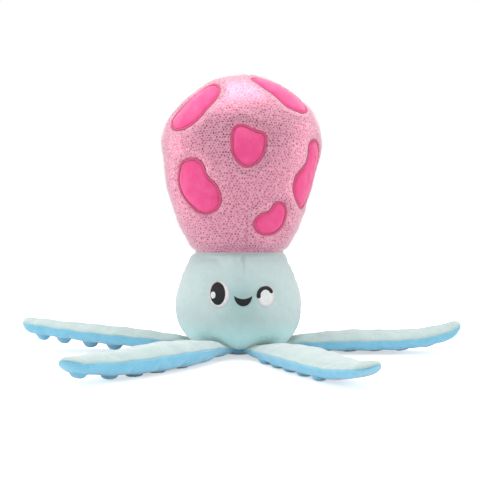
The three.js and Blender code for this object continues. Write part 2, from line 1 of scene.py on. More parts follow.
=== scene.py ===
# %% [markdown]
# # A stuffed toy squid
#
# The toy is sewn from four cloths: a pink one printed with foil dots, a bright velvet, a pale
# velour and a blue velour. This lesson dresses its plain solids in those cloths. Every sewn
# cover is worked out as a surface, a function of two parameters, and then pressed in along its
# seams and swollen between them, as stuffing does. Lengths are in millimetres until a mesh is
# made, the face looks toward -Y, and +Z is up.
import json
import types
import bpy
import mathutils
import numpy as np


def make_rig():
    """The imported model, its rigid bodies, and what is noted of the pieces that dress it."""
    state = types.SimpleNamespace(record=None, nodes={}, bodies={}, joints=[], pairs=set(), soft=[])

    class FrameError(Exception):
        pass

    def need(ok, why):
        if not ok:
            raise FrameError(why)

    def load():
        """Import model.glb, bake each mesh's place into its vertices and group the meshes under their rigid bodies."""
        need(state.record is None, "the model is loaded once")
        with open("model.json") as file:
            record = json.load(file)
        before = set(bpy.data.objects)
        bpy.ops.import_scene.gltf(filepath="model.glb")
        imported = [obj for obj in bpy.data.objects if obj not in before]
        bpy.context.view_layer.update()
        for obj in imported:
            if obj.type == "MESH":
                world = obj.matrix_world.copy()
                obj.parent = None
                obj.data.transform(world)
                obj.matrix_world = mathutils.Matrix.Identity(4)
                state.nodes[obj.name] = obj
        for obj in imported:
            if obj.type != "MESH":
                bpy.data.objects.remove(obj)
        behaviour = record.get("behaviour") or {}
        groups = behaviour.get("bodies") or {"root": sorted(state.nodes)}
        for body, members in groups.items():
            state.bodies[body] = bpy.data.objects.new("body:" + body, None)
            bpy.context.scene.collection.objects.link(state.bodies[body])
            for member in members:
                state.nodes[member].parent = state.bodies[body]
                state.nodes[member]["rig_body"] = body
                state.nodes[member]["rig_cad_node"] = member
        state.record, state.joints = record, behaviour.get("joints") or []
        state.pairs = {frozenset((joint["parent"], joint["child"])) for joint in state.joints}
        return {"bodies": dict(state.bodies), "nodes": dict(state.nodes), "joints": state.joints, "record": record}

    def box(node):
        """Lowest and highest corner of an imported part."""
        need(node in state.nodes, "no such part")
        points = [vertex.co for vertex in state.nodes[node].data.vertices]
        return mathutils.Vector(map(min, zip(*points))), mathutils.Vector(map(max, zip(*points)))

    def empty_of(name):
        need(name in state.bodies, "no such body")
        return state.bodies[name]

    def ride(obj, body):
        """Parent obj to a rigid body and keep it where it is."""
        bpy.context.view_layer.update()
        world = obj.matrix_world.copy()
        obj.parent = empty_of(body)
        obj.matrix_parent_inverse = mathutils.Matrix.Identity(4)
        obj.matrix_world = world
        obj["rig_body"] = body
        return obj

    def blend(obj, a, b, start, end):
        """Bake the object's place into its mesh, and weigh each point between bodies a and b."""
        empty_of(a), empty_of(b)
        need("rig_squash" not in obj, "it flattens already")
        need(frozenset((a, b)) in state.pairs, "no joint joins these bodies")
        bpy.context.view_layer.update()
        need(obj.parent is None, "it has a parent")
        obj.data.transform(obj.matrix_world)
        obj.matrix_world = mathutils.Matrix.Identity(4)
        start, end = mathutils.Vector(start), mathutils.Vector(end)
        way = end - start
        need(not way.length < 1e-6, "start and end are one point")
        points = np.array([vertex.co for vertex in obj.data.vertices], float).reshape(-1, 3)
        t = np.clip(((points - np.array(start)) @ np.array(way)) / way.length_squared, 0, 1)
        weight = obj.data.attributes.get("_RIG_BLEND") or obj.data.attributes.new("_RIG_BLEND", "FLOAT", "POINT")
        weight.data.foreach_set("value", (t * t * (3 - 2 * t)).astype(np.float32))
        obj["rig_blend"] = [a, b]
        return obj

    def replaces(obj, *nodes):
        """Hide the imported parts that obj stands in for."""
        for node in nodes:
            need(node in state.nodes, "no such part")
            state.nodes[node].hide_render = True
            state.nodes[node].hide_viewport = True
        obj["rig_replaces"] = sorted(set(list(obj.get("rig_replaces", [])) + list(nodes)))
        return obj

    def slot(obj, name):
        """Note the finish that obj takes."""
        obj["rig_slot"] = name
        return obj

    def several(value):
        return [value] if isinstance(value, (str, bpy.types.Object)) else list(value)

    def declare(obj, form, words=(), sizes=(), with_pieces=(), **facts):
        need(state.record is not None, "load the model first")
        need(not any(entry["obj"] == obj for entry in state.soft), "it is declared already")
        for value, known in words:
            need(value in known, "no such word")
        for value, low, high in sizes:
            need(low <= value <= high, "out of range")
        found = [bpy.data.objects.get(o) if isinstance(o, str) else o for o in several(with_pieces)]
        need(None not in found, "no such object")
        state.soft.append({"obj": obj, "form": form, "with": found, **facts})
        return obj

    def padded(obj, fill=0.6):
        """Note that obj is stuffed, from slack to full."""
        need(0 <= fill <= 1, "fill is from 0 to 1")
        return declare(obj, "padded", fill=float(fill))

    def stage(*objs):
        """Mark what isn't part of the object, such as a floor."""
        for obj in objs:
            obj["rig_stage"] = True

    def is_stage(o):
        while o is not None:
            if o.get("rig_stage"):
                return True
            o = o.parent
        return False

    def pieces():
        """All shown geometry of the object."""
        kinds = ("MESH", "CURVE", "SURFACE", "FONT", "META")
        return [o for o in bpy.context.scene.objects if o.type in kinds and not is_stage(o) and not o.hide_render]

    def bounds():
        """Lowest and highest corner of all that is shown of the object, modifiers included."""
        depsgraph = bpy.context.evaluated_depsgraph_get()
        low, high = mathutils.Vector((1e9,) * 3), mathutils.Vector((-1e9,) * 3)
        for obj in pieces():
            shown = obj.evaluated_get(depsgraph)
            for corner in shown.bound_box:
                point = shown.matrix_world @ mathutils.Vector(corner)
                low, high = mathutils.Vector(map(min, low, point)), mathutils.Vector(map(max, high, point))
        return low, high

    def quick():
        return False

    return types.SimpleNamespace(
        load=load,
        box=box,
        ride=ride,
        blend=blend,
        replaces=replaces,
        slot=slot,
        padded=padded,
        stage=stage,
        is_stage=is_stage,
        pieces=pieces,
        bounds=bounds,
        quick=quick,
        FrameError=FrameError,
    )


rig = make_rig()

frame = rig.load()
cad_low, cad_high = (list(corner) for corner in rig.bounds())

import json
import math

import bpy
import numpy as np

MM = 0.001
TURN = 2 * math.pi
print("solids:", len(frame["nodes"]), "joints:", len(frame["joints"]))

# %% [markdown]
# ## Surfaces from arrays
#
# A cover could be modelled by moving vertices one by one, but a sewn shape is easier to say as a
# rule. So each one is a grid of points, worked out as whole numpy arrays. These helpers turn such
# a grid into a closed mesh whose faces point outwards.

# %% Points to meshes
def spline(knots, values, at):
    """A natural cubic curve through the values at the knots: its second derivatives m solve
    h0 m0 + 2 (h0 + h1) m1 + h1 m2 = 6 (slope1 - slope0), and are 0 at both ends."""
    knots, values = np.asarray(knots, float), np.asarray(values, float)
    step = np.diff(knots)
    slope = np.diff(values, axis=0) / step.reshape(-1, *[1] * (values.ndim - 1))
    count = len(knots)
    system = np.eye(count)
    right = np.zeros_like(values)
    inner = np.arange(1, count - 1)
    system[inner, inner - 1] = step[:-1]
    system[inner, inner] = 2 * (step[:-1] + step[1:])
    system[inner, inner + 1] = step[1:]
    right[1:-1] = 6 * np.diff(slope, axis=0)
    bend = np.linalg.solve(system, right.reshape(count, -1)).reshape(right.shape)
    at = np.clip(np.asarray(at, float), knots[0], knots[-1])
    i = np.clip(np.searchsorted(knots, at, side="right") - 1, 0, count - 2)
    wide = at.shape + (1,) * (values.ndim - 1)
    h = step[i].reshape(wide)
    a = (knots[i + 1] - at).reshape(wide) / h
    b = 1 - a
    curve = a * values[i] + b * values[i + 1]
    return curve + ((a**3 - a) * bend[i] + (b**3 - b) * bend[i + 1]) * h**2 / 6


def hill(distance, width):
    """A smooth bump, 1 at distance 0, that fades over the width: exp(-(d / w) squared)."""
    return np.exp(-((distance / width) ** 2))


def ease(low, high, x):
    """0 below low, 1 above high, and 3 t^2 - 2 t^3 between them."""
    t = np.clip((x - low) / (high - low), 0, 1)
    return t * t * (3 - 2 * t)


def unit(vectors):
    return vectors / np.maximum(np.linalg.norm(vectors, axis=-1, keepdims=True), 1e-12)


def lengths(path):
    """How far along a path of points each of them lies."""
    return np.concatenate([[0], np.cumsum(np.linalg.norm(np.diff(path, axis=0), axis=1))])


def grid_faces(rows, columns, looped=True):
    """Quads between neighbours of a grid whose columns close, and whose rows may."""
    row = np.arange(rows if looped else rows - 1)[:, None]
    column = np.arange(columns)[None, :]
    below, beyond = (row + 1) % rows, (column + 1) % columns
    corners = [row * columns + column, row * columns + beyond]
    corners += [below * columns + beyond, below * columns + column]
    return np.stack([c.ravel() for c in np.broadcast_arrays(*corners)], -1)


def make_mesh(name, points, faces, cloth, uv=None):
    """A smooth mesh object in metres. Faces are arrays of 3 or 4 corners, and uv has one row to
    each corner of each face. If the enclosed volume is negative, the faces are turned over."""
    points = np.asarray(points, float).reshape(-1, 3)
    fans = [f[:, [0, k, k + 1]] for f in faces for k in range(1, f.shape[1] - 1)]
    triangles = np.concatenate(fans)
    a, b, c = (points[triangles[:, k]] for k in range(3))
    if np.einsum("ij,ij->i", a, np.cross(b, c)).sum() < 0:
        faces = [f[:, ::-1] for f in faces]
        uv = None if uv is None else [w[:, ::-1] for w in uv]
    mesh = bpy.data.meshes.new(name)
    corners = np.concatenate([f.ravel() for f in faces])
    sizes = np.concatenate([np.full(len(f), f.shape[1]) for f in faces])
    mesh.vertices.add(len(points))
    mesh.vertices.foreach_set("co", (points * MM).ravel())
    mesh.loops.add(len(corners))
    mesh.loops.foreach_set("vertex_index", corners.astype(np.int32))
    mesh.polygons.add(len(sizes))
    mesh.polygons.foreach_set("loop_start", (np.cumsum(sizes) - sizes).astype(np.int32))
    mesh.polygons.foreach_set("use_smooth", np.ones(len(sizes), bool))
    if uv is not None:
        layer = mesh.uv_layers.new(name="cloth")
        layer.data.foreach_set("uv", np.concatenate([w.reshape(-1, 2) for w in uv]).ravel())
    mesh.update(calc_edges=True)
    mesh.validate()
    piece = bpy.data.objects.new(name, mesh)
    bpy.context.scene.collection.objects.link(piece)
    mesh.materials.append(cloth)
    return piece


def closed_grid(rings):
    """Points and faces of a tube of closed rings, shut at each end by a fan round its middle."""
    rows, columns = rings.shape[:2]
    points = np.concatenate([rings.reshape(-1, 3), rings[[0, -1]].mean(1)])
    quads = grid_faces(rows, columns, looped=False)
    j = np.arange(columns)
    first, last = rows * columns, rows * columns + 1
    start = np.stack([(j + 1) % columns, j, np.full(columns, first)], -1)
    tail = (rows - 1) * columns
    end = np.stack([tail + j, tail + (j + 1) % columns, np.full(columns, last)], -1)
    return points, [quads, start, end]


# %% [markdown]
# ## Finishes
#
# A velour is a cloth with a short upright pile. Up close it shows fibres, further off it looks
# soft because the fibre tips catch light at the edges, and where a hand has brushed it, it is a
# little lighter or darker. Nodes can say all that. The class below lets node values add and
# multiply like numbers, so a finish reads as a formula.

# %% Node values that add up
def arithmetic(operation, swapped=False):
    """A method that adds a Math node for a value and another one, or the other way round."""

    def method(value, other):
        pair = (other, value) if swapped else (value, other)
        return value.nodes.add("Math", {"operation": operation}, dict(enumerate(pair)))

    return method


class Value:
    """A node's output that works with + - * / and with numbers."""

    def __init__(self, nodes, socket):
        self.nodes, self.socket = nodes, socket

    __add__ = __radd__ = arithmetic("ADD")
    __mul__ = __rmul__ = arithmetic("MULTIPLY")
    __sub__, __rsub__ = arithmetic("SUBTRACT"), arithmetic("SUBTRACT", swapped=True)
    __truediv__ = arithmetic("DIVIDE")


class Nodes:
    """A node tree, and a method that adds any node to it."""

    def __init__(self, tree):
        self.tree = tree

    def feed(self, node, values):
        for name, value in values.items():
            if isinstance(value, Value):
                self.tree.links.new(value.socket, node.inputs[name])
            else:
                node.inputs[name].default_value = value

    def add(self, kind, settings=None, values=None, output=0):
        node = self.tree.nodes.new("ShaderNode" + kind)
        for name, value in (settings or {}).items():
            setattr(node, name, value)
        self.feed(node, values or {})
        return Value(self, node.outputs[output])

    def vector(self, operation, *inputs, output=0):
        return self.add("VectorMath", {"operation": operation}, dict(enumerate(inputs)), output)

    def between(self, share, low, high):
        """The share of the way from one number to the other, eased and held at both."""
        settings = {"interpolation_type": "SMOOTHSTEP"}
        values = {"Value": share, "From Min": low, "From Max": high}
        return self.add("MapRange", settings, values)

    def mix(self, share, first, second, blend="MIX"):
        settings = {"data_type": "RGBA", "blend_type": blend}
        return self.add("Mix", settings, {0: share, 6: first, 7: second}, output=2)


class Finish(Nodes):
    """A material with one Principled shader, whose inputs are written with underscores."""

    def __init__(self, name, **settings):
        self.material = bpy.data.materials.new(name)
        self.material.use_nodes = True
        super().__init__(self.material.node_tree)
        self.shader = self.tree.nodes["Principled BSDF"]
        self.show(**settings)

    def show(self, **values):
        self.feed(self.shader, {name.replace("_", " "): value for name, value in values.items()})
        return self.material

    def place(self):
        return self.add("TexCoord", output="Object")

    def noise(self, size, detail=2, at=None, dimensions="3D", output=0):
        """Noise from 0 to 1 whose lumps are about size millimetres."""
        values = {"Vector": at or self.place(), "Scale": 1 / (size * MM), "Detail": detail}
        return self.add("TexNoise", {"noise_dimensions": dimensions}, values, output)

    def relief(self, height, depth, strength=1.0, below=None):
        """A bump of a depth in millimetres, on top of another one."""
        values = {"Height": height, "Distance": depth * MM, "Strength": strength}
        if below:
            values["Normal"] = below
        return self.add("Bump", {}, values)


def colour(red, green, blue):
    """The linear colour of an sRGB one given from 0 to 255."""
    srgb = np.array([red, green, blue]) / 255
    linear = np.where(srgb <= 0.04045, srgb / 12.92, ((srgb + 0.055) / 1.055) ** 2.4)
    return (*linear.tolist(), 1.0)


WHITE, BLACK = (1, 1, 1, 1), (0, 0, 0, 1)
BOUNCE_BLUE_GREEN = (0.0, 0.15, 0.155, 1)


# %% Velours and velvet
def velour(name, tone, deep, light, pile=0.5, nap=7.0, sheen=0.9, painted_shade=None, painted_bounce=None):
    """Pile cloth: fine fibres, hand-sized brushed patches, and a soft edge from sheen. Painted shade
    darkens it round a place given in millimetres, where it goes over to the deep tone. Painted
    blue-green bounce light tints it, fully below the first height and not above the second."""
    cloth = Finish(name, Roughness=0.9, Sheen_Weight=sheen, Sheen_Roughness=0.45)
    cloth.show(Specular_IOR_Level=0.2, Sheen_Tint=WHITE)
    fibres = cloth.noise(pile, 4)
    clumps = cloth.noise(4 * pile, 3)
    brushed = cloth.between(cloth.noise(nap, 2), 0.35, 0.7)
    shade = cloth.mix(brushed * 0.45, tone, light)
    shade = cloth.mix(cloth.between(fibres * 0.7 + clumps * 0.3, 0.62, 0.38) * 0.35, shade, deep)
    # Painted shade: the cloth darkens to its deep tone round a given place.
    if painted_shade:
        *middle, reach = (length * MM for length in painted_shade)
        away = cloth.vector("DISTANCE", cloth.place(), middle, output="Value")
        away = away + cloth.noise(18, 2) * (0.4 * reach)
        shade = cloth.mix(cloth.between(away, 1.15 * reach, 0.25 * reach), shade, deep)
    # Painted bounce light: blue-green, as thrown up by the blue arms, added low on the cloth.
    if painted_bounce:
        height = cloth.add("SeparateXYZ", {}, {0: cloth.place()}, output=2)
        bounce_share = cloth.between(height, *(level * MM for level in painted_bounce[::-1]))
        shade = cloth.mix(bounce_share, shade, BOUNCE_BLUE_GREEN, "ADD")
    coarse = cloth.relief(clumps, 0.35, 0.4)
    return cloth.show(Base_Color=shade, Normal=cloth.relief(fibres, 0.35, 0.6, coarse))


PALE = (colour(184, 204, 202), colour(152, 181, 179), colour(197, 213, 211))
BLUE = (colour(128, 196, 222), colour(94, 166, 198), colour(147, 206, 228))
PINK = (colour(238, 84, 143), colour(218, 56, 120), colour(246, 112, 166))
pale_velour = velour("pale_velour", *PALE)
# The head's cloth is the pale velour again, in its own copy with slightly other tones, painted shade over the face's
# middle and painted blue-green bounce light low down.
FACE = (colour(190, 208, 207), colour(160, 190, 190), colour(201, 216, 215))
face_velour = velour("face_velour", *FACE, painted_shade=(4, -60, 54, 38), painted_bounce=(18, 42))
blue_velour = velour("blue_velour", *BLUE, sheen=0.6)
spot_velvet = velour("spot_velvet", *PINK, 0.45, 9, 0.4)
FIBRE = (colour(243, 243, 240), colour(225, 225, 222), colour(250, 250, 248))
filling = velour("filling", *FIBRE, 1.2, 9, 0.3)

# %% [markdown]
# ## The dotted cloth
#
# The pink cloth carries thousands of foil dots, printed in staggered rows 2.4 mm apart. Foil
# mirrors its surroundings: turned to a lamp or the white wall a dot sparkles, and turned to the
# dark side of the studio it looks darker than the cloth. The rows are drawn on the cloth's own
# flat pattern, which the mantle's mesh stores: how far round and how far up each point lies. Two
# grids of dots, one shifted by half a cell both ways, make the staggered rows.

# %% Foil dots
DOT_CELL = (2.75, 4.75)
DOT_RADIUS = 0.95
DOT_WANDER = 2.0
cloth = Finish("dotted_cloth", Sheen_Weight=0.7, Sheen_Roughness=0.42, Specular_IOR_Level=0.3)
flat = cloth.add("UVMap", {"uv_map": "cloth"})
wander = cloth.noise(5, 1, flat, "2D", output=1)
wander = cloth.vector("MULTIPLY_ADD", wander, (DOT_WANDER * MM,) * 3, flat)


def dots(shift):
    """The distance from the nearest dot of one grid, in millimetres."""
    half = tuple(side / 2 * MM for side in DOT_CELL)
    moved = cloth.vector("ADD", wander, tuple(shift * h for h in half) + (0,))
    local = cloth.vector("WRAP", moved, half + (1.0,), tuple(-h for h in half) + (-1.0,))
    local = cloth.vector("MULTIPLY", local, (1, 1, 0))
    return cloth.vector("LENGTH", local, output="Value") / MM


nearest = cloth.add("Math", {"operation": "MINIMUM"}, {0: dots(0), 1: dots(1)})
lightness = cloth.between(cloth.noise(2.2, 0, flat, "2D"), 0.3, 0.7)
dot = cloth.between(nearest + lightness * 0.2, DOT_RADIUS + 0.17, DOT_RADIUS - 0.13)
fibres = cloth.noise(0.6, 4)
brushed = cloth.between(cloth.noise(11, 3), 0.35, 0.7)
ground = cloth.mix(brushed * 0.5, colour(213, 149, 171), colour(224, 171, 189))
ground = cloth.mix(cloth.between(fibres, 0.62, 0.38) * 0.35, ground, colour(202, 132, 157))
foil = cloth.mix(lightness, colour(164, 77, 110), colour(226, 160, 173))
dotted_cloth = cloth.show(
    Base_Color=cloth.mix(dot, ground, foil),
    Metallic=dot * 0.9,
    Roughness=0.85 - dot * 0.52,
    Normal=cloth.relief(dot * (0.5 + lightness), 0.1, 0.6, cloth.relief(fibres, 0.3, 0.5)),
)

# %% [markdown]
# ## Threads
#
# Embroidery is satin stitch: shiny threads laid side by side. Across the threads the surface
# rises and falls every 0.4 mm, so the bump is a wave, and each thread has its own lightness.

# %% Satin stitch
def satin(name, tone, along="X", pitch=0.42, tilted=0.0, **settings):
    """Threads that run along X, or up along Z, drawn by a wave across them."""
    threads = Finish(name, Roughness=0.5, Specular_IOR_Level=0.3, **settings)
    place = threads.add("Mapping", {}, {"Vector": threads.place(), "Rotation": (0, tilted, 0)})
    across = threads.add("SeparateXYZ", {}, {0: place}, output=2 if along == "X" else 0)
    wave = threads.add("Math", {"operation": "SINE"}, {0: across * (TURN / (pitch * MM))})
    strand = threads.noise(1.4, 2)
    dark = tuple(c * 0.72 for c in tone[:3]) + (1,)
    # The threads' lightness differs at random, and painted shade darkens the grooves between them, where the wave is
    # low.
    shade = threads.mix(threads.between(strand + wave * 0.12, 0.6, 0.3) * 0.5, tone, dark)
    return threads.show(Base_Color=shade, Normal=threads.relief(wave, 0.1, 0.6))


black_thread = satin("black_thread", colour(13, 17, 17), tilted=0.2)
black_upright = satin("black_thread_upright", colour(13, 17, 17), along="Z")
white_thread = satin("white_thread", colour(236, 238, 238))
blush_thread = satin("blush_thread", colour(230, 219, 222), along="Z", pitch=0.5)
rose_thread = satin("rose_thread", colour(205, 82, 124), pitch=0.9)

# %% [markdown]
# ## Bags: the mantle and the head
#
# Both are closed bags. Looking from the front, their outline is a row of heights with the place of
# the left and the right edge, and each level section is a rounded oval. A smooth curve through
# those rows gives the bag at any height. The rows go on past each pole with the edges swapped,
# which makes the bag close smoothly there instead of in a point.

# %% A bag from its outline
class Bag:
    """u turns round the section from +X toward +Y, and v runs from the lower pole (0) to the
    upper one (1). A section's edge is |x / a|^n + |y / b|^n = 1 round its middle."""

    def __init__(self, rows, squareness, seams=None):
        height, left, right, depth = np.array(rows, float).T
        values = np.stack([(right - left) / 2, depth, height, (left + right) / 2], -1)
        beyond = np.array([-1, -1, 1, 1])
        below, above = values[3:0:-1] * beyond, values[-2:-5:-1] * beyond
        self.values = np.concatenate([below, values, above])
        along = lengths(self.values[:, [0, 2]])
        self.knots = (along - along[3]) / (along[-4] - along[3])
        self.squareness = squareness
        self.seams = seams

    def bare(self, u, v):
        a, b, z, middle = np.moveaxis(spline(self.knots, self.values, v), -1, 0)
        c, s = np.cos(u), np.sin(u)
        r = (np.abs(c) ** self.squareness + np.abs(s) ** self.squareness) ** (-1 / self.squareness)
        return np.stack([middle + a * r * c, b * r * s, z], -1)

    def normal(self, u, v, step=2e-3):
        v = np.clip(v, 2 * step, 1 - 2 * step)
        around = self.bare(u + step, v) - self.bare(u - step, v)
        up = self.bare(u, v + step) - self.bare(u, v - step)
        return unit(np.cross(around, up))

    def skin(self, u, v, lift=0.0):
        """The bag with its seams and dents, raised along its normal."""
        point, out = self.bare(u, v), self.normal(u, v)
        if self.seams:
            lift = lift + self.seams(point, u, v)
        return point + out * np.asarray(lift)[..., None]

    def find(self, wanted, across, up, centre, start):
        """Newton's steps to the u and v whose point has the wanted place (a, b) in the plane
        that across and up span at the centre. A step is limited, and v keeps off the poles."""
        u, v = (np.full(len(wanted), s, float) for s in start)
        plane = np.stack([across, up], -1)
        probe = 1e-4
        for _ in range(12):
            here = (self.bare(u, v) - centre) @ plane
            by_u = (((self.bare(u + probe, v) - centre) @ plane - here) / probe).T
            by_v = (((self.bare(u, v + probe) - centre) @ plane - here) / probe).T
            gap = (wanted - here).T
            cross = by_u[0] * by_v[1] - by_u[1] * by_v[0]
            cross = np.where(np.abs(cross) < 1e-6, 1e-6, cross)
            u = u + np.clip((gap[0] * by_v[1] - gap[1] * by_v[0]) / cross, -0.3, 0.3)
            v = v + np.clip((gap[1] * by_u[0] - gap[0] * by_u[1]) / cross, -0.1, 0.1)
            v = np.clip(v, 0.01, 0.99)
        return u, v

    def nearest(self, point):
        """The u and v of the grid point that lies nearest, good enough to start from."""
        u, v = np.meshgrid(np.linspace(0, TURN, 180, endpoint=False), np.linspace(0.02, 0.98, 120))
        away = np.linalg.norm(self.bare(u, v) - point, axis=-1)
        best = np.unravel_index(away.argmin(), away.shape)
        return u[best], v[best]


# %% The outlines
# Height, left edge, right edge, half depth
MANTLE_ROWS = [
    (100.9, 0.8, 0.8, 0),
    (100.9, -36.0, 37.6, 33.4),
    (101.3, -43.4, 44.8, 39.6),
    (103.6, -45.2, 46.4, 41.0),
    (114.5, -51.5, 53.0, 45.0),
    (130.5, -59.3, 61.0, 50.2),
    (146.5, -64.4, 66.2, 53.6),
    (162.5, -69.4, 72.0, 56.8),
    (178.5, -72.4, 76.0, 59.2),
    (194.5, -74.5, 80.0, 60.8),
    (210.5, -76.4, 81.0, 61.0),
    (222.5, -74.5, 79.8, 59.4),
    (234.5, -67.4, 75.0, 55.6),
    (246.5, -56.2, 65.0, 49.4),
    (258.5, -41.4, 52.0, 40.0),
    (267.0, -28.6, 37.6, 29.0),
    (272.8, -12.0, 21.6, 15.0),
    (274.8, 5.0, 5.0, 0),
]
HEAD_ROWS = [
    (12.2, 1.0, 1.0, 0),
    (12.1, -30.0, 32.0, 29.0),
    (12.9, -40.0, 42.0, 39.2),
    (18.5, -51.0, 51.8, 49.6),
    (30.5, -59.2, 59.0, 56.8),
    (42.0, -61.7, 61.2, 58.4),
    (52.0, -61.9, 61.4, 58.4),
    (62.0, -60.2, 60.0, 57.0),
    (74.0, -56.6, 56.0, 53.0),
    (84.0, -52.8, 52.0, 48.8),
    (92.0, -49.0, 48.4, 44.8),
    (98.2, -46.2, 46.4, 41.8),
    (100.4, -43.6, 44.8, 39.6),
    (100.7, -36.0, 37.6, 33.4),
    (100.7, 0.8, 0.8, 0),
]
mantle = Bag(MANTLE_ROWS, 2.15)
head = Bag(HEAD_ROWS, 2.0)
u, v = np.meshgrid(np.linspace(0, TURN, 90), np.linspace(0, 1, 90))
for name, bag in (("mantle", mantle), ("head", head)):
    shape = bag.bare(u, v)
    print(name, "from", shape.min((0, 1)).round(1), "to", shape.max((0, 1)).round(1))

# %% [markdown]
# ## Patterns laid on a bag
#
# A velvet spot or a stitched eye starts as a flat pattern, like the paper a tailor cuts by. Its
# outline is a few points in the plane that touches the bag there, with a smooth closed curve
# through them. Newton's steps then find where each flat point lies on the curved bag. Another way
# would be to cut the bag's own mesh, but then the stitching could not sink into the cloth.

# %% A pattern on a bag
class Pattern:
    """A flat outline in the plane that touches a bag at its centre, and its way onto the bag."""

    def __init__(self, bag, centre, outline, facing=None):
        self.bag = bag
        self.centre = np.asarray(centre, float)
        self.start = bag.nearest(self.centre)
        self.out = bag.normal(*self.start) if facing is None else np.array(facing, float)
        self.across = unit(np.cross([0, 0, 1], self.out))
        self.up = np.cross(self.out, self.across)
        self.outline = outline

    def flat(self, points):
        return (points - self.centre) @ np.stack([self.across, self.up], -1)

    def gap(self, points):
        """How far points in space lie outside the outline, negative inside it."""
        return beyond(self.outline, self.flat(points.reshape(-1, 3))).reshape(points.shape[:-1])

    def lay(self, flat, lift):
        """The bag's points over the flat ones, raised by lift."""
        wide = flat.shape[:-1]
        u, v = self.bag.find(flat.reshape(-1, 2), self.across, self.up, self.centre, self.start)
        points = self.bag.skin(u, v, np.broadcast_to(lift, wide).ravel())
        return points.reshape(*wide, 3)


def closed_curve(points, count):
    """A smooth loop through the points, with its count samples equally far apart."""
    points = np.asarray(points, float)
    loop = np.concatenate([points[-3:], points, points[:4]])
    along = lengths(loop)
    fine = spline(along, loop, np.linspace(along[3], along[3 + len(points)], 2000))
    length = lengths(fine)
    at = np.linspace(0, length[-1], count, endpoint=False)
    return np.stack([np.interp(at, length, fine[:, k]) for k in (0, 1)], -1)


def oval(width, height, count=72):
    turn = np.linspace(0, TURN, count, endpoint=False)
    return np.stack([width / 2 * np.cos(turn), height / 2 * np.sin(turn)], -1)


def outward(outline):
    """Unit normals of a flat loop, to the right of its direction, turned to point out of it."""
    along = unit(np.roll(outline, -1, 0) - np.roll(outline, 1, 0))
    normal = np.stack([along[:, 1], -along[:, 0]], -1)
    x, y = outline.T
    area = (x * np.roll(y, -1) - np.roll(x, -1) * y).sum()
    return normal * np.sign(area)


def beyond(outline, flat):
    """How far flat points lie outside a loop, negative inside it: the distance to the nearest
    edge, with a sign from how often a line from the point crosses the loop."""
    start, end = outline, np.roll(outline, -1, 0)
    edge = end - start
    away = flat[:, None, :] - start
    share = np.clip((away * edge).sum(-1) / (edge * edge).sum(-1), 0, 1)
    distance = np.linalg.norm(away - share[..., None] * edge, axis=-1).min(1)
    y = flat[:, None, 1]
    crosses = (start[:, 1] <= y) != (end[:, 1] <= y)
    rise = np.where(np.abs(edge[:, 1]) < 1e-9, 1e-9, edge[:, 1])
    left = start[:, 0] + (y - start[:, 1]) / rise * edge[:, 0] > flat[:, None, 0]
    inside = (crosses & left).sum(1) % 2 == 1
    return np.where(inside, -distance, distance)


def softness(points, size, seed):
    """Slow random waves through space, from about -1 to 1: a mean of eight sines."""
    random = np.random.default_rng(seed)
    ways = unit(random.normal(size=(8, 3))) * random.uniform(0.7, 1.4, (8, 1)) * TURN / size
    return 1.4 * np.sin(points @ ways.T + random.uniform(0, TURN, 8)).mean(-1)


# %% Pads and stitched edges
def pad(name, pattern, finish, height, edge, dents=0.0):
    """A cushion over the pattern: it rises from its outline as 1 - exp(-d / edge), with d the
    distance to the outline, and closes underneath, sunk into the cloth."""
    middle = pattern.outline.mean(0)
    share = np.concatenate([np.linspace(0.03, 1, 16), [1.0, 0.6, 0.03]])
    flat = middle + share[:, None, None] * (pattern.outline - middle)
    inside = -beyond(pattern.outline, flat.reshape(-1, 2)).reshape(flat.shape[:2])
    lift = height * (1 - np.exp(-inside / edge)) * (1 - 0.25 * np.exp(-inside / (4 * edge)))
    lift[-3:] = -0.5
    points = pattern.lay(flat, lift)
    if dents:
        points[:-3] += pattern.out * (dents * softness(points[:-3], 11, len(name)))[..., None]
    return make_mesh(name, *closed_grid(points), finish)


def stitched_edge(name, pattern, finish, seed, inner, width, height, pitch):
    """Satin stitch along the outline: a low roll whose threads cross it, one every pitch. Each
    thread is a small arch, and its ends reach a little more or less far than its neighbours'."""
    threads = int(lengths(np.append(pattern.outline, pattern.outline[:1], axis=0))[-1] / pitch)
    path = closed_curve(pattern.outline, threads * 4)
    normal = outward(path)
    random = np.random.default_rng(seed)
    reach = np.repeat(random.normal(0, 0.07, (threads, 2)), 4, axis=0)
    bulge = np.tile([0.0, 0.75, 1.0, 0.75], threads)[:, None]
    turn = np.linspace(0, TURN, 12, endpoint=False)[None, :]
    c, s = np.cos(turn), np.sin(turn)
    out = inner + width / 2 * (1 + c) + np.where(c > 0, reach[:, :1], reach[:, 1:])
    flat = path[:, None] + normal[:, None] * out[..., None]
    lift = np.where(s > 0, height + 0.14 * bulge, 0.4) * s
    points = pattern.lay(flat, lift)
    faces = grid_faces(len(path), turn.size)
    return make_mesh(name, points, [faces], finish)


# %% [markdown]
# ## The velvet spots
#
# Ten kidney-shaped velvet pieces are sewn on the mantle. Satin stitch holds each one down all
# round, so its edge sinks, its middle swells, and the pink cloth outside the stitches swells too.
# The patterns' points are in millimetres across and up from the spot's middle.

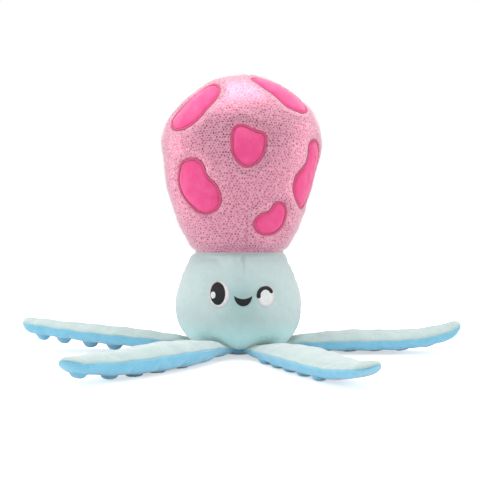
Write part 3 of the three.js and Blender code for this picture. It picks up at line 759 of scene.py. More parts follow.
# %% The spots' patterns
SPOTS = {
    "front": [
        (-10, 15), (-4, 16), (3, 13), (9, 10.5), (14, 9), (16, 4), (15, -4), (12, -12), (5, -18),
        (-2, -19.5), (-8, -15), (-12, -9), (-13, 0), (-13, 8),
    ],
    "front_left": [
        (-18, 16), (-14, 22), (-7, 24.5), (1, 24), (6, 20), (8, 14), (11, 7), (16, 2), (19, -3),
        (20.5, -10), (19, -18), (13, -23), (6, -24.5), (-1, -23), (-8, -18), (-15, -11),
        (-20, -2), (-20.5, 7),
    ],
    "front_right": [
        (0, 9), (3, 13), (9, 12.5), (13, 7), (13, -1), (10, -9), (4, -14), (-5, -15.5),
        (-12, -13), (-16, -7), (-14, -1), (-10, 2), (-4, 4),
    ],
    "right": [
        (2, 27), (1, 20), (1, 12), (-3, 4), (-10, -4), (-12.5, -12), (-10, -20), (-3, -28),
        (8, -34), (20, -30), (28, -16), (30, 0), (28, 14), (20, 26), (10, 30),
    ],
    "crown_left": [
        (13, 29), (19, 20), (19, 10), (15, 0), (11, -9), (5, -16), (-2, -20), (-11, -21),
        (-19, -18), (-24, -12), (-24, -4), (-18, 5), (-12, 17), (-5, 28), (4, 33),
    ],
    "crown_right": [
        (-20, 24), (-19, 11), (-15, 1), (-11, -7), (-7, -16), (1, -21), (12, -22), (19, -17),
        (24, -8), (22, 4), (14, 14), (4, 22), (-6, 29), (-15, 31),
    ],
    "back": [
        (-19, 12), (-10, 18), (0, 17), (8, 11), (17, 8), (23, 1), (22, -9), (14, -15), (3, -16),
        (-5, -11), (-14, -9), (-22, -3), (-23, 6),
    ],
    "back_left": [
        (-4, 25), (6, 25), (12, 17), (11, 7), (8, -3), (12, -13), (10, -22), (1, -26), (-9, -22),
        (-14, -12), (-14, 0), (-15, 12), (-11, 21),
    ],
    "back_right": [
        (-20, 8), (-12, 14), (-2, 12), (5, 7), (14, 6), (21, 0), (20, -9), (11, -14), (0, -11),
        (-8, -7), (-17, -6), (-22, 0),
    ],
    "back_low": [
        (-14, 5), (-7, 9), (2, 7), (9, 7), (15, 2), (13, -6), (5, -9), (-4, -7), (-12, -6),
        (-16, -1),
    ],
}
SPOT_PLACES = {
    "front": (8.1, -61, 200.8),
    "front_left": (-39.1, -48.1, 162.3),
    "front_right": (32, -44.9, 133.3),
    "right": (64.4, -33.7, 177.2),
    "crown_left": (-43.3, -41.3, 237.7),
    "crown_right": (44.4, -31.9, 253.6),
}
for name in SPOTS:
    if name not in SPOT_PLACES:
        low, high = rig.box("spot_" + name)
        SPOT_PLACES[name] = tuple((np.array(low) + np.array(high)) / 2 / MM)
spot_patterns = {n: Pattern(mantle, SPOT_PLACES[n], closed_curve(SPOTS[n], 120)) for n in SPOTS}
print("spots:", ", ".join(spot_patterns))


NECK_Z = 101
SPOT_REACH = 62
STITCHED = 1.2


def furrow(distance, swell, groove):
    """A stitched line: a groove of a depth and width, between two swellings of the cloth, each
    with its height, its distance from the line and its width."""
    height, beside, wide = swell
    depth, narrow = groove
    return height * hill(np.abs(distance) - beside, wide) - depth * hill(distance, narrow)


def near_spots(points):
    """For each spot its pattern, which points are near it, and how far outside it those lie."""
    for pattern in spot_patterns.values():
        near = np.linalg.norm(points - pattern.centre, axis=-1) < SPOT_REACH
        if near.any():
            yield pattern, near, pattern.gap(points[near])


def mantle_seams(points, u, v):
    """Side seams, two darts, the neck's crease, the stitched rings round the spots, and slow
    unevenness from the stuffing, in millimetres along the normal."""
    x, y, z = np.moveaxis(points, -1, 0)
    front = ease(4, -12, y)
    lift = 0.75 * softness(points, 75, 3) + 0.25 * softness(points, 28, 4)
    side = ease(20, 34, np.abs(x)) * ease(NECK_Z, NECK_Z + 7, z)
    lift = lift + side * furrow(y, (0.4, 5, 3.5), (0.8, 1.1))
    crown_dart = ease(250, 262, z) * ease(12, -2, y)
    lift = lift + crown_dart * furrow(x - 10, (0.5, 5, 4), (0.9, 1.1))
    low_dart = ease(150, 138, z) * front
    lift = lift + low_dart * furrow(x - 7.5, (1.3, 9, 8), (1.9, 1.8))
    neck = hill(z - NECK_Z, 2.2) + 1.5 * front * hill(x - 6, 20) * hill(z - NECK_Z, 5)
    lift = lift * ease(NECK_Z, NECK_Z + 5, z) - neck * ease(NECK_Z, NECK_Z + 0.6, z)
    for pattern, near, gap in near_spots(points):
        facing = (mantle.normal(u[near], v[near]) * pattern.out).sum(-1)
        seen = np.clip((facing - 0.1) / 0.3, 0, 1)
        groove = -1.5 * hill(np.maximum(gap - STITCHED, 0), 2.2) + 0.7 * hill(gap - 7.5, 4)
        lift[near] += seen * np.where(gap < STITCHED, -1.5, groove)
    return lift


mantle.seams = mantle_seams

# %% [markdown]
# ## The face's patterns
#
# The face is embroidered on the front of the head: an eye with a glint, a winking eye, and a
# smile. Each layer is a pad of thread over the one before. The stitches draw the head's cloth in
# a little, so the head's own surface needs the face's outlines too.

# %% Face
FACE_FRONT = (0, -1, 0)
HEAD_WIDEST_Z = 49.5


def smile(width, height, sag, count=36):
    """A lip that sags as a parabola over the lower half of an oval."""
    share = np.linspace(-1, 1, count)
    lip = np.stack([share * width / 2, -sag * (1 - share**2)], -1)
    turn = np.linspace(0, -math.pi, count + 2)[1:-1]
    chin = np.stack([width / 2 * np.cos(turn), height * np.sin(turn)], -1)
    return np.concatenate([lip, chin])


def on_face(x, rise, outline):
    return Pattern(head, (x, -57, HEAD_WIDEST_Z + rise), outline, FACE_FRONT)


eye = on_face(-18.4, 13.0, oval(17.6, 23.4))
pupil = on_face(-19.3, 13.4, oval(14.9, 21.9))
glint = on_face(-23.4, 11.9, oval(5.5, 7.5))
wink = on_face(25.9, 11.1, oval(15.2, 18.6))
mouth = on_face(4.3, 11.7, smile(16.9, 9.7, 3.0))
lid = on_face(25.0, 12.0, oval(12.4, 12.8))


def head_seams(points, u, v):
    """Side seams, the front dart, the dents and the swelling round its lower end, the neck's
    crease, the cloth drawn in round the face, and its swellings between the arms."""
    x, y, z = np.moveaxis(points, -1, 0)
    front = ease(4, -14, y)
    lift = 0.6 * softness(points, 62, 8) + 0.2 * softness(points, 24, 9)
    side = ease(20, 34, np.abs(x)) * ease(15, 22, z)
    lift = lift + side * furrow(y, (0.35, 5, 3.5), (0.7, 1.1))
    dart = ease(76, 86, z) * front
    lift = lift + dart * furrow(x - 4.5, (1.2, 9, 8), (1.7, 1.4))
    slanting = hill(x + 20 + 0.45 * (z - 92), 13) * hill(z - 92 + 0.4 * (x + 20), 4.5)
    brow = hill(x + 7, 8) * hill(z - 89, 8)
    crease = hill(x - 4, 10) * hill(z - 71.5, 3.2)
    lift = lift + front * (1.7 * brow - 2.1 * slanting - 0.7 * crease)
    neck = 0.8 * hill(z - 100.5, 2.2) + 1.5 * front * hill(x - 5, 20) * hill(z - NECK_Z, 4)
    lift = lift * ease(100.6, 96, z) - neck * ease(100.6, 100, z)
    between_arms = (1 - np.cos(6 * np.arctan2(y, x))) / 2
    lift = lift + ease(27, 13, z) * ease(30, 42, np.hypot(x, y)) * (4.2 * between_arms + 0.4)
    for pattern, depth in ((eye, 0.7), (wink, 0.7), (mouth, 0.9)):
        gap = pattern.gap(points)
        lift = lift - front * depth * np.where(gap < 0, 1, hill(gap, 4.5))
    return lift


head.seams = head_seams

# %% [markdown]
# ## Stuffing, simulated
#
# Between its seams real cloth bulges and puckers in ways that no formula says. So coarse copies of
# the bags and arms are blown up a little by Blender's cloth solver, held along every seam, with
# cloth that is slightly too large for its shape. How far each point moved is then read off, limited
# and added to the fine surfaces. The solver was made for things a metre across, so the copies are
# ten times larger than the toy.

# %% Cloth under pressure
SIM_SCALE = 10.0
SIM_FRAMES = 12


def stuffed(grids, held, growth, pressure, bending, cap):
    """The moves, in millimetres, of grids of closed rings after a short time under pressure. held
    gives each point a share from 0 to 1 that is pinned, and moves stay under the cap."""
    parts = [closed_grid(grid) for grid in grids]
    counts = np.array([len(points) for points, _ in parts])
    starts = np.cumsum(counts) - counts
    faces = [f + start for (_, fs), start in zip(parts, starts) for f in fs]
    faces = [np.concatenate([f for f in faces if f.shape[1] == corners]) for corners in (4, 3)]
    points = np.concatenate([p for p, _ in parts])
    trial = make_mesh("stuffing_trial", points * SIM_SCALE, faces, filling)
    pins = np.concatenate([np.append(h.ravel(), [1.0, 1.0]) for h in held]).round(1)
    group = trial.vertex_groups.new(name="held")
    for share in np.unique(pins):
        group.add(np.flatnonzero(pins == share).tolist(), float(share), "REPLACE")
    solver = trial.modifiers.new("cloth", "CLOTH")
    for name, value in dict(
        quality=4, mass=0.05, tension_stiffness=8, compression_stiffness=8, shear_stiffness=3,
        bending_stiffness=bending, use_pressure=True, uniform_pressure_force=pressure,
        shrink_min=-growth, vertex_group_mass="held",
    ).items():
        setattr(solver.settings, name, value)
    solver.settings.effector_weights.gravity = 0
    solver.collision_settings.use_collision = False
    solver.point_cache.frame_start, solver.point_cache.frame_end = 1, SIM_FRAMES
    scene = bpy.context.scene
    for frame in range(1, SIM_FRAMES + 1):
        scene.frame_set(frame)
    result = trial.evaluated_get(bpy.context.evaluated_depsgraph_get()).to_mesh()
    moved = np.empty(len(points) * 3)
    result.vertices.foreach_get("co", moved)
    scene.frame_set(1)
    bpy.data.objects.remove(trial)
    moves = moved.reshape(-1, 3) / (SIM_SCALE * MM) - points
    far = np.linalg.norm(moves, axis=-1, keepdims=True)
    mean, most = far.mean().round(2), far.max().round(2)
    print("simulated:", len(points), "points, moved", mean, "mm, at most", most)
    moves = moves / np.sqrt(1 + (far / cap) ** 2)
    return [moves[a : a + n - 2].reshape(grid.shape) for a, n, grid in zip(starts, counts, grids)]


def finer(moves, rows_at, columns_at, rows_to, columns_to):
    """A grid of moves on other rows and columns, by splines both ways."""
    moves = spline(rows_at, moves, rows_to)
    return np.moveaxis(spline(columns_at, np.moveaxis(moves, 1, 0), columns_to), 0, 1)


# %% [markdown]
# ## Sewing the mantle and the head
#
# With seams and dents known, each bag becomes one fine closed mesh. The mantle's mesh also stores
# its flat pattern for the foil dots: for the front and for the back panel, how far a point lies
# from the panel's middle line, and how far up.

# %% Mantle and head
FINE_MANTLE, COARSE_MANTLE = (230, 360), (84, 130)
FINE_HEAD, COARSE_HEAD = (150, 280), (64, 110)
FILLING_DEPTH = 4.5
SPOT_STITCH = dict(inner=0.0, width=2.5, height=0.9, pitch=0.8)


def bag_rings(bag, rows, columns, lift=0.0):
    """A bag's rings from just above its lower pole to just below its upper one."""
    u = np.linspace(0, TURN, columns, endpoint=False)
    return bag.skin(*np.meshgrid(u, np.linspace(0.004, 0.996, rows)), lift)


def panel_map(rings, faces):
    """Metres round from each panel's middle line and up from the neck, for every face corner."""
    rows, columns = rings.shape[:2]
    around = np.linalg.norm(np.roll(rings, -1, 1) - rings, axis=-1)
    along = np.concatenate([np.zeros((rows, 1)), np.cumsum(around, 1)], 1)
    height = np.linalg.norm(np.diff(rings, axis=0), axis=-1)
    height = np.concatenate([np.zeros((1, columns)), np.cumsum(height, 0)])
    height = np.concatenate([height, height[:, :1]], 1)
    maps = []
    for face in faces:
        inner = np.minimum(face, rows * columns - 1)
        row, column = inner // columns, inner % columns
        first = column.min(1, keepdims=True)
        wraps = (column.max(1, keepdims=True) - first) > columns / 2
        column = np.where(wraps & (column == 0), columns, column)
        back = np.where(wraps, columns - 1, first) < columns // 2
        middle = np.where(back, columns // 4, 3 * columns // 4)
        across = along[row, column] - along[row, np.broadcast_to(middle, row.shape)]
        maps.append(np.stack([across + 400 * back, height[row, column]], -1) * MM)
    return maps


def stuffed_bag(bag, held_at, coarse, fine):
    """The coarse grid goes on past its closing line, so that the splines run smoothly over it."""
    rings = bag_rings(bag, *fine)
    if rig.quick():
        return rings
    trial = bag_rings(bag, *coarse)
    moves = stuffed([trial], [held_at(trial)], growth=0.02, pressure=8, bending=0.3, cap=1.6)[0]
    moves = np.concatenate([moves[:, -4:], moves, moves[:, :4]], 1)
    from_at = np.linspace(0, 1, coarse[0]), (np.arange(coarse[1] + 8) - 4) / coarse[1]
    to_at = np.linspace(0, 1, fine[0]), np.arange(fine[1]) / fine[1]
    return rings + finer(moves, *from_at, *to_at)


def mantle_held(points):
    """Held on the side seams, at the neck, and under the spots and their stitches."""
    x, y, z = np.moveaxis(points, -1, 0)
    held = np.maximum(hill(y, 2) * ease(20, 34, np.abs(x)), ease(NECK_Z + 7, NECK_Z + 2, z))
    for _, near, gap in near_spots(points):
        held[near] = np.maximum(held[near], ease(5, 2.5, gap))
    return held


def head_held(points):
    """Held on the side seams, at the neck, on the arms, and under the face's stitches."""
    x, y, z = np.moveaxis(points, -1, 0)
    held = np.maximum(hill(y, 2) * ease(20, 34, np.abs(x)), ease(90, 96, z) + ease(22, 16, z))
    for pattern in (eye, wink, mouth):
        held = np.maximum(held, ease(4, 1.5, pattern.gap(points)) * (y < 0))
    return held


rings = stuffed_bag(mantle, mantle_held, COARSE_MANTLE, FINE_MANTLE)
points, faces = closed_grid(rings)
mantle_cloth = make_mesh("mantle_cloth", points, faces, dotted_cloth, panel_map(rings, faces))
rings = stuffed_bag(head, head_held, COARSE_HEAD, FINE_HEAD)
head_cloth = make_mesh("head_cloth", *closed_grid(rings), face_velour)
rings = bag_rings(mantle, 40, 60, -FILLING_DEPTH)
mantle_filling = make_mesh("mantle_filling", *closed_grid(rings), filling)
rings = bag_rings(head, 30, 50, -FILLING_DEPTH)
head_filling = make_mesh("head_filling", *closed_grid(rings), filling)

for piece, slot, nodes in (
    (mantle_cloth, "mantle_fabric", ("mantle_front", "mantle_back")),
    (head_cloth, "pale_fabric", ("head_front", "head_back")),
    (mantle_filling, "stuffing", ("mantle_stuffing",)),
    (head_filling, "stuffing", ("head_stuffing",)),
):
    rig.ride(piece, "body")
    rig.slot(piece, slot)
    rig.replaces(piece, *nodes)
    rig.padded(piece, fill=0.8)

for number, (name, pattern) in enumerate(spot_patterns.items()):
    velvet = pad("velvet_" + name, pattern, spot_velvet, height=1.5, edge=1.6, dents=0.22)
    edge = stitched_edge("stitches_" + name, pattern, rose_thread, number, **SPOT_STITCH)
    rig.replaces(velvet, "spot_" + name)
    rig.padded(velvet, fill=0.5)
    for piece in (velvet, edge):
        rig.ride(piece, "body")
        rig.slot(piece, "spot_velvet")

# %% Face pieces
LID_BAR = dict(turns=(10, 207), half_sizes=(6.2, 6.4), half_width=2.0, height=0.9)
EYE_STITCH = dict(inner=-0.3, width=1.1, height=0.5, pitch=0.55)


def ribbon(name, pattern, finish, turns, half_sizes, half_width, height):
    """A satin bar along part of an oval, with round ends: a closed section carried along it."""
    turn = np.linspace(*np.radians(turns), 61)
    path = np.stack([half_sizes[0] * np.cos(turn), half_sizes[1] * np.sin(turn)], -1)
    normal = unit(np.stack([half_sizes[1] * np.cos(turn), half_sizes[0] * np.sin(turn)], -1))
    length = lengths(path)
    to_end = np.minimum(length, length[-1] - length)
    size = np.sqrt(1 - (1 - np.clip(to_end / half_width, 0.02, 1)) ** 2)[:, None]
    section = np.linspace(0, TURN, 18, endpoint=False)[None, :]
    flat = path[:, None] + normal[:, None] * (half_width * size * np.cos(section))[..., None]
    rise = np.sin(section)
    lift = np.where(rise > 0, (0.45 + height * size) * rise, -0.2)
    return make_mesh(name, *closed_grid(pattern.lay(flat, lift)), finish)


# After its finish, each pad has its height and how far in from its outline it rises.
face_pieces = [
    (pad("eye_white_pad", eye, white_thread, 0.75, 0.5), "eye_white", "white_thread"),
    (pad("eye_pupil_pad", pupil, black_thread, 1.35, 0.4), "eye_pupil", "black_thread"),
    (pad("eye_glint_pad", glint, white_thread, 1.85, 0.3), "eye_glint", "white_thread"),
    (pad("wink_white_pad", wink, white_thread, 0.75, 0.5), "wink_white", "white_thread"),
    (pad("mouth_pad", mouth, black_upright, 0.85, 0.5), "mouth", "black_thread"),
    (ribbon("wink_arch_bar", lid, black_thread, **LID_BAR), "wink_arch", "black_thread"),
]
for piece, node, slot in face_pieces:
    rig.replaces(piece, node)
    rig.slot(piece, slot)
    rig.ride(piece, "body")
for name, pattern in (("eye_edge", eye), ("wink_edge", wink)):
    edge = stitched_edge(name, pattern, blush_thread, 40, **EYE_STITCH)
    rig.slot(edge, "white_thread")
    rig.ride(edge, "body")
print("body and face:", len(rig.pieces()), "pieces shown")

# %% [markdown]
# ## Arms
#
# An arm is two long cloths sewn edge to edge, pale above and blue below, and lightly stuffed. Its
# middle line runs over the floor from the base, turns sideways and lifts toward its tip. Each
# section is a flattened oval, cut in two at the seam, where both cloths draw in. Knobs swell
# under the arm, in one row: they are the suckers. Each cloth is a closed sleeve with a wall.

# %% The arms' measures
# WIDTHS are those of the root, the widest place and the tip. An arm comes down from ROOT_Z to
# where it lies at REST_FROM, stays above LEAST_Z, and puckers once every PUCKER_PITCH.
ARM_LENGTH, ARM_START, ARM_WIDEST, TIP_ROUND = 186.0, 34.5, 84.0, 10.0
WIDTHS, WIDTH_POWER = (31, 46.5, 22), 1.3
ROOT_THICK, THICK_POWER = 6.4, 0.76
ROOT_Z, REST_FROM, LEAST_Z = 4.5, 50, 0.35
PUCKER, PUCKER_PITCH = 0.3, 26
FOLD_FROM, FOLD_TO, HINGE_Z = 37, 56, 7.0
CLOTH, TO_CORE = 1.6, 2.5
HALF_RING = 19
COARSE_ROWS, FINE_ROWS = (78, 6), (170, 12)

# In ARMS, side and turn are in degrees, and lengths in millimetres. seam is the seam's share of
# the thickness, from below. rest is the underside's height where the arm lies down, and roll how
# far its left edge is higher than its middle. proud is how far the suckers stand out, at the
# places along the arm. fullness is the power n of the underside's section, and aside is how far
# the row of suckers lies left of the middle.
EVEN_PLACES = (50, 76, 102, 128, 154)
REAR = dict(
    turn_power=0.65, lift=3, lift_power=3, thick=18.5, tip=13,
    seam=(0.52, 0.6), rest=2.6, roll=0, proud=3.0, places=EVEN_PLACES,
)
ARMS = {
    "arm_right": dict(
        side=0, turn=-2.8, turn_power=1.6, lift=16.5, lift_power=6.5, thick=18.8, tip=15.2,
        seam=(0.5, 0.5), rest=3.3, roll=-1.4, proud=1.5, places=EVEN_PLACES,
    ),
    "arm_rear_right": dict(side=60, turn=47, **REAR),
    "arm_rear_left": dict(side=120, turn=-47, **REAR),
    "arm_left": dict(
        side=180, turn=-12, turn_power=1.2, lift=15.6, lift_power=1.6, thick=16.8, tip=14.4,
        seam=(0.56, 0.56), rest=3.6, roll=2.2, proud=5.5, places=(63, 90, 115, 143, 165),
    ),
    "arm_front_left": dict(
        side=240, turn=-21, turn_power=1.15, lift=11.0, lift_power=4.8, thick=21.6, tip=10.4,
        seam=(0.62, 0.68), rest=1.9, roll=1.4, proud=3.4, places=(65, 93, 118, 143, 171),
    ),
    "arm_front_right": dict(
        side=300, turn=-7.4, turn_power=0.75, lift=14.2, lift_power=7.2, thick=15.0, tip=8.4,
        seam=(0.68, 0.34), rest=3.6, roll=1.0, proud=3.3, places=(36, 58, 80, 102, 126),
        fullness=4.2, aside=-10.5,
    ),
}


def tapered(s, root, widest, tip, power):
    """sin^power from the root to the widest place, then a late narrowing to the tip."""
    rise = np.sin(math.pi / 2 * np.clip(s, 0, ARM_WIDEST) / ARM_WIDEST) ** power
    past = np.maximum(s - ARM_WIDEST, 0) / (ARM_LENGTH - ARM_WIDEST)
    return root + (widest - root) * rise + (tip - widest) * past**1.7


class Arm:
    """An arm's middle line, its sections, and the rings of its cloths and of its stuffing."""

    def __init__(
        self, side, turn, turn_power, lift, lift_power, thick, tip,
        seam, rest, roll, proud, places, fullness=2.9, aside=0.0,
    ):
        self.side, self.lift, self.lift_power = math.radians(side), lift, lift_power
        self.thick, self.tip, self.seam, self.rest = thick, tip, seam, rest
        self.roll, self.proud, self.places = roll, proud, places
        self.fullness, self.aside = fullness, aside
        self.s = np.linspace(-6, ARM_LENGTH, 400)
        self.heading = math.radians(turn) * (np.maximum(self.s, 0) / ARM_LENGTH) ** turn_power
        step = np.diff(self.s)
        middle = (self.heading[1:] + self.heading[:-1]) / 2
        self.x = ARM_START + self.s[0] + np.concatenate([[0], np.cumsum(step * np.cos(middle))])
        self.y = np.concatenate([[0], np.cumsum(step * np.sin(middle))])

    def section(self, s, turn, upper, inset=0.0):
        """Points of half a section: |across / w|^n + |height / h|^n = 1, drawn in at the seam,
        with n = 2.3 above and more below, where the floor flattens it. turn runs from 0 at one
        seam to pi at the other."""
        s, turn = np.broadcast_arrays(s, turn)
        power = 2 / (2.3 if upper else self.fullness)
        into = np.clip((s - ARM_LENGTH + TIP_ROUND) / TIP_ROUND, 0, 0.999)
        tip = np.sqrt(1 - into**2)
        half_width = tapered(s, *WIDTHS, WIDTH_POWER) / 2 * tip
        full = tapered(s, ROOT_THICK, self.thick, self.tip, THICK_POWER)
        lifted = self.lift * np.maximum(s / ARM_LENGTH, 0) ** self.lift_power
        floor = ROOT_Z + (self.rest - ROOT_Z) * np.clip(s / REST_FROM, 0, 1) + lifted
        seam = self.seam[0] + (self.seam[1] - self.seam[0]) * ease(ARM_LENGTH - 16, ARM_LENGTH, s)
        wave = TURN * s / PUCKER_PITCH
        seam_z = floor + seam * full + PUCKER * np.sin(wave + 1)
        half = full * (1 - seam if upper else seam) * tip
        c, k = np.cos(turn), np.maximum(np.sin(turn), 0)
        height = k**power
        drawn = 0.3 * hill(height * half, 1.3) * tip
        across = np.sign(c) * np.abs(c) ** power
        across = across * (half_width - drawn - inset + PUCKER * np.sin(wave))
        height = height * np.maximum(half - inset, 0.3) + 0.03
        if not upper:
            height = height + self.suckers(s, across) * (inset == 0)
        tilt = self.roll * across / np.maximum(half_width, 5) * ease(0, 30, s)
        z = seam_z + tilt + (height if upper else -height)
        heading = np.interp(s, self.s, self.heading)
        x = np.interp(s, self.s, self.x) - np.sin(heading) * across
        y = np.interp(s, self.s, self.y) + np.cos(heading) * across
        points = self.turned(np.stack([x, y, z], -1))
        uneven = 0.4 * softness(points, 36, 5) + 0.15 * softness(points, 15, 6)
        points[..., 2] = np.maximum(z + uneven * ease(0.5, 3, height), LEAST_Z)
        return points

    def suckers(self, s, across):
        """Knobs: a smooth plateau, with a crease round its foot and a dimple in its end."""
        lift = np.zeros_like(s, dtype=float)
        for number, at in enumerate(self.places):
            q = np.hypot(s - at, across - self.aside) / (8.6 - 0.45 * number)
            dome = np.clip(1 - q**2.2, 0, 1) ** 0.6
            lift += self.proud * dome - 0.5 * hill(q - 1.1, 0.13) - 0.35 * hill(q, 0.2)
        return lift

    def turned(self, points):
        c, k = math.cos(self.side), math.sin(self.side)
        x, y, z = np.moveaxis(points, -1, 0)
        return np.stack([c * x - k * y, k * x + c * y, z], -1)

    def along(self, count, at_tip):
        """Places from root to tip, closer together in the round end."""
        end = ARM_LENGTH - TIP_ROUND * (1 - np.sin(np.linspace(0.12, 1.5, at_tip)))
        return np.concatenate([np.linspace(-5, ARM_LENGTH - TIP_ROUND, count), end])

    def whole(self):
        """Coarse rings round both cloths, and how far each point is held: fully on the seams and
        at the root."""
        s, turn = self.along(*COARSE_ROWS)[:, None], np.linspace(0, math.pi, HALF_RING)[None]
        halves = self.section(s, turn, True), self.section(s, turn[:, -2:0:-1], False)
        rings = np.concatenate(halves, 1)
        on_seam = np.isin(np.arange(rings.shape[1]), [0, HALF_RING - 1])
        return rings, np.maximum(on_seam[None], ease(18, 8, s))

    def sleeve(self, upper, around, moves=None):
        """Rings of one cloth from root to tip: the outer half section, and back inside it. Of the
        simulated rings the lower half is read backward from the seam where the upper one starts."""
        s = self.along(*FINE_ROWS)
        turns = np.linspace(0, math.pi, around), np.linspace(math.pi, 0, 9)
        outer = self.section(s[:, None], turns[0][None], upper)
        inner = self.section(s[:, None], turns[1][None], upper, CLOTH)
        middle = (outer[:, :1] + outer[:, -1:]) / 2
        wide = np.linalg.norm(outer[:, :1] - middle, axis=-1, keepdims=True)
        inner = middle + (inner - middle) * np.clip(wide / (wide + 0.1), 0, 1)
        rings = np.concatenate([outer, inner], 1)
        if moves is not None:
            half = moves[:, np.arange(HALF_RING) * (1 if upper else -1)]
            coarse = self.along(*COARSE_ROWS), np.linspace(0, math.pi, HALF_RING)
            rings = rings + finer(half, *coarse, s, np.concatenate(turns))
            rings[..., 2] = np.maximum(rings[..., 2], LEAST_Z)
        return rings

    def core(self):
        """Rings of the stuffing: both half sections, well inside the cloths."""
        s = np.linspace(30, ARM_LENGTH - TIP_ROUND - 2, 40)[:, None]
        turn = np.linspace(0, math.pi, 16)[None]
        top = self.section(s, turn, True, TO_CORE)
        under = self.section(s, turn[:, ::-1], False, TO_CORE)
        return np.concatenate([top[:, :-1], under[:, :-1]], 1)


# %% Sewing the arms
arms = {name: Arm(**measures) for name, measures in ARMS.items()}
arm_moves = dict.fromkeys(arms)
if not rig.quick():
    grids, held = zip(*(arm.whole() for arm in arms.values()))
    moves = stuffed(grids, held, growth=0.015, pressure=4, bending=3, cap=0.8)
    arm_moves = dict(zip(arms, moves))
for name, arm in arms.items():
    moves = arm_moves[name]
    top, under, core = (
        make_mesh(name + ending, *closed_grid(rings), cloth)
        for ending, rings, cloth in (
            ("_top_cloth", arm.sleeve(True, 30, moves), pale_velour),
            ("_under_cloth", arm.sleeve(False, 44, moves), blue_velour),
            ("_filling", arm.core(), filling),
        )
    )
    way = np.array([math.cos(arm.side), math.sin(arm.side), 0])
    fold = [tuple((way * radius + [0, 0, HINGE_Z]) * MM) for radius in (FOLD_FROM, FOLD_TO)]
    for piece, node, slot in (
        (top, "_upper", "pale_fabric"),
        (under, "_underside", "blue_fabric"),
        (core, "_stuffing", "stuffing"),
    ):
        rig.replaces(piece, name + node)
        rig.slot(piece, slot)
        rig.padded(piece, fill=0.6)
    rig.blend(top, "body", name, *fold)
    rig.blend(under, "body", name, *fold)
    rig.ride(core, name)

# %% [markdown]
# ## The base
#
# Under the head, between the arms' roots, a small blue panel closes the toy. It is a flat cushion
# with six rounded sides: each level ring is a hexagon whose corners a power mean rounds off.

# %% Base
# Distance from the middle, and height
BASE_PROFILE = [
    (2, 0.3), (10, 0.35), (17, 0.8), (23, 1.9), (28, 3.4), (31.4, 5.0), (33.2, 6.8),
    (33.4, 8.7), (31.5, 10.6), (26, 11.3), (12, 11.4), (2, 11.4),
]


def base_rings():
    """r(turn) = apothem / (sum of max(cos(turn - side), 0)^p)^(1/p), over a rounded profile."""
    turn = np.linspace(0, TURN, 144, endpoint=False)[None]
    sides = np.radians([0, 60, 120, 180, 240, 300])[:, None]
    reach = 1 / (np.maximum(np.cos(turn - sides), 0) ** 14).sum(0) ** (1 / 14)
    knots = np.linspace(0, 1, len(BASE_PROFILE))
    radius, z = spline(knots, BASE_PROFILE, np.linspace(0, 1, 60)).T[..., None]
    x, y = radius * np.cos(turn) * reach, radius * np.sin(turn) * reach
    return np.stack([x, y, np.broadcast_to(z, x.shape)], -1)


base_cloth = make_mesh("base_cloth", *closed_grid(base_rings()), blue_velour)
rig.replaces(base_cloth, "base_panel")
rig.slot(base_cloth, "blue_fabric")
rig.padded(base_cloth, fill=0.4)
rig.ride(base_cloth, "body")

# %% [markdown]
# ## Studio
#
# The toy was photographed level, from a little under its middle, in soft light from both sides
# and above, against white. The floor is white to the camera but still takes a shadow.

# %% Floor, light and camera
FLOOR_HALF = 6000
NEAR_GLOW = 0.56
FILL_LIGHT = 0.42
BRIGHT_SIDE, DARK_SIDE = 1.1, 0.0


def ray_kinds(nodes):
    """Whether a ray comes straight from the camera, and whether it is mirrored."""
    return [nodes.add("LightPath", output=f"Is {kind} Ray") for kind in ("Camera", "Glossy")]


def white_floor():
    """Grey enough to throw little light up, and lit by itself to white where the camera sees it,
    less so near the toy, where its shadow shows. A mirrored ray sees that glow only far off."""
    grey = (0.92, 0.92, 0.93, 1)
    floor = Finish("floor", Base_Color=grey, Roughness=0.95, Specular_IOR_Level=0.1)
    seen, mirrored = ray_kinds(floor)
    away = floor.vector("LENGTH", floor.place(), output="Value")
    far = floor.between(away, 0.28, 0.8)
    glow = seen * (NEAR_GLOW + far * (1 - NEAR_GLOW)) + mirrored * far
    return floor.show(Emission_Color=floor.mix(glow, BLACK, WHITE), Emission_Strength=1)


corners = np.array([(-1, -1, 0), (1, -1, 0), (1, 1, 0), (-1, 1, 0)]) * FLOOR_HALF
floor = make_mesh("floor", corners, [np.array([[0, 1, 2, 3]])], white_floor())
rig.stage(floor)

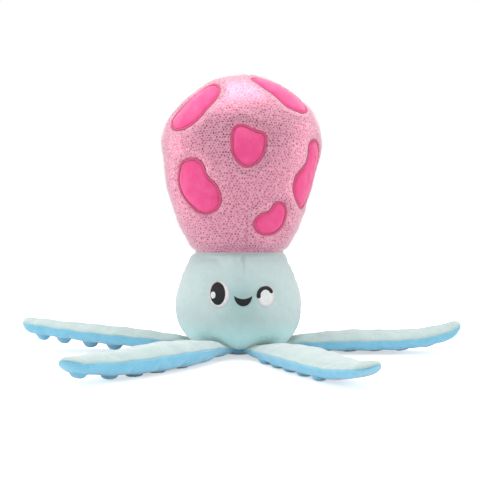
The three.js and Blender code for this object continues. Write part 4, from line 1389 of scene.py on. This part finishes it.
# The surroundings light the toy evenly, but a mirrored ray sees them dark on the camera's side
# and bright on the others.
world = bpy.data.worlds.new("studio")
bpy.context.scene.world = world
world.use_nodes = True
sky = Nodes(world.node_tree)
seen, mirrored = ray_kinds(sky)
way = sky.add("TexCoord", output="Generated")
ahead = sky.vector("DOT_PRODUCT", way, (0, -1, 0), output="Value")
sides = {"Value": ahead, "From Min": 0.35, "From Max": 0.9}
sides.update({"To Min": BRIGHT_SIDE, "To Max": DARK_SIDE})
reflected = sky.add("MapRange", {}, sides)
lit = sky.add("Mix", {}, {0: mirrored, 2: FILL_LIGHT, 3: reflected})
strength = sky.add("Math", {"operation": "MAXIMUM"}, {0: lit, 1: seen})
sky.feed(sky.tree.nodes["Background"], {"Color": WHITE, "Strength": strength})


def soft_lamp(name, place, aim, size, power, mirrored=True):
    lamp = bpy.data.objects.new(name, bpy.data.lights.new(name, "AREA"))
    lamp.data.shape = "DISK"
    lamp.data.size = size
    lamp.data.energy = power
    bpy.context.scene.collection.objects.link(lamp)
    way = np.array(aim, float) - place
    heading = math.atan2(way[1], way[0])
    lamp.rotation_euler = (math.acos(-way[2] / np.linalg.norm(way)), 0, heading - math.pi / 2)
    lamp.location = place
    lamp.visible_glossy = mirrored


soft_lamp("lamp_left", (-0.95, -0.05, 0.26), (0, 0, 0.06), 0.7, 3.4)
soft_lamp("lamp_right", (0.95, 0.0, 0.26), (0, 0, 0.06), 0.7, 3.2)
soft_lamp("lamp_top", (0.0, -0.1, 1.2), (0, 0, 0.1), 0.8, 12.0)
# A mirrored front lamp would whiten the foil dots that face the camera.
soft_lamp("lamp_front", (-0.2, -1.4, 0.6), (0, 0, 0.12), 0.9, 3.5, mirrored=False)

camera = bpy.data.objects.new("camera", bpy.data.cameras.new("camera"))
bpy.context.scene.collection.objects.link(camera)
camera.location = (0.0013, -0.72, 0.1125)
camera.rotation_euler = (math.pi / 2, 0, 0)
camera.data.lens = 54
camera.data.sensor_width = 36
bpy.context.scene.camera = camera
bpy.context.scene.view_settings.view_transform = "Standard"

low, high = (list(corner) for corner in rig.bounds())
with open("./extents.json", "w") as record:
    json.dump({"cad": [cad_low, cad_high], "visual": [low, high]}, record)
print("visual", [round(v, 4) for v in low + high], "cad", [round(v, 4) for v in cad_low + cad_high])
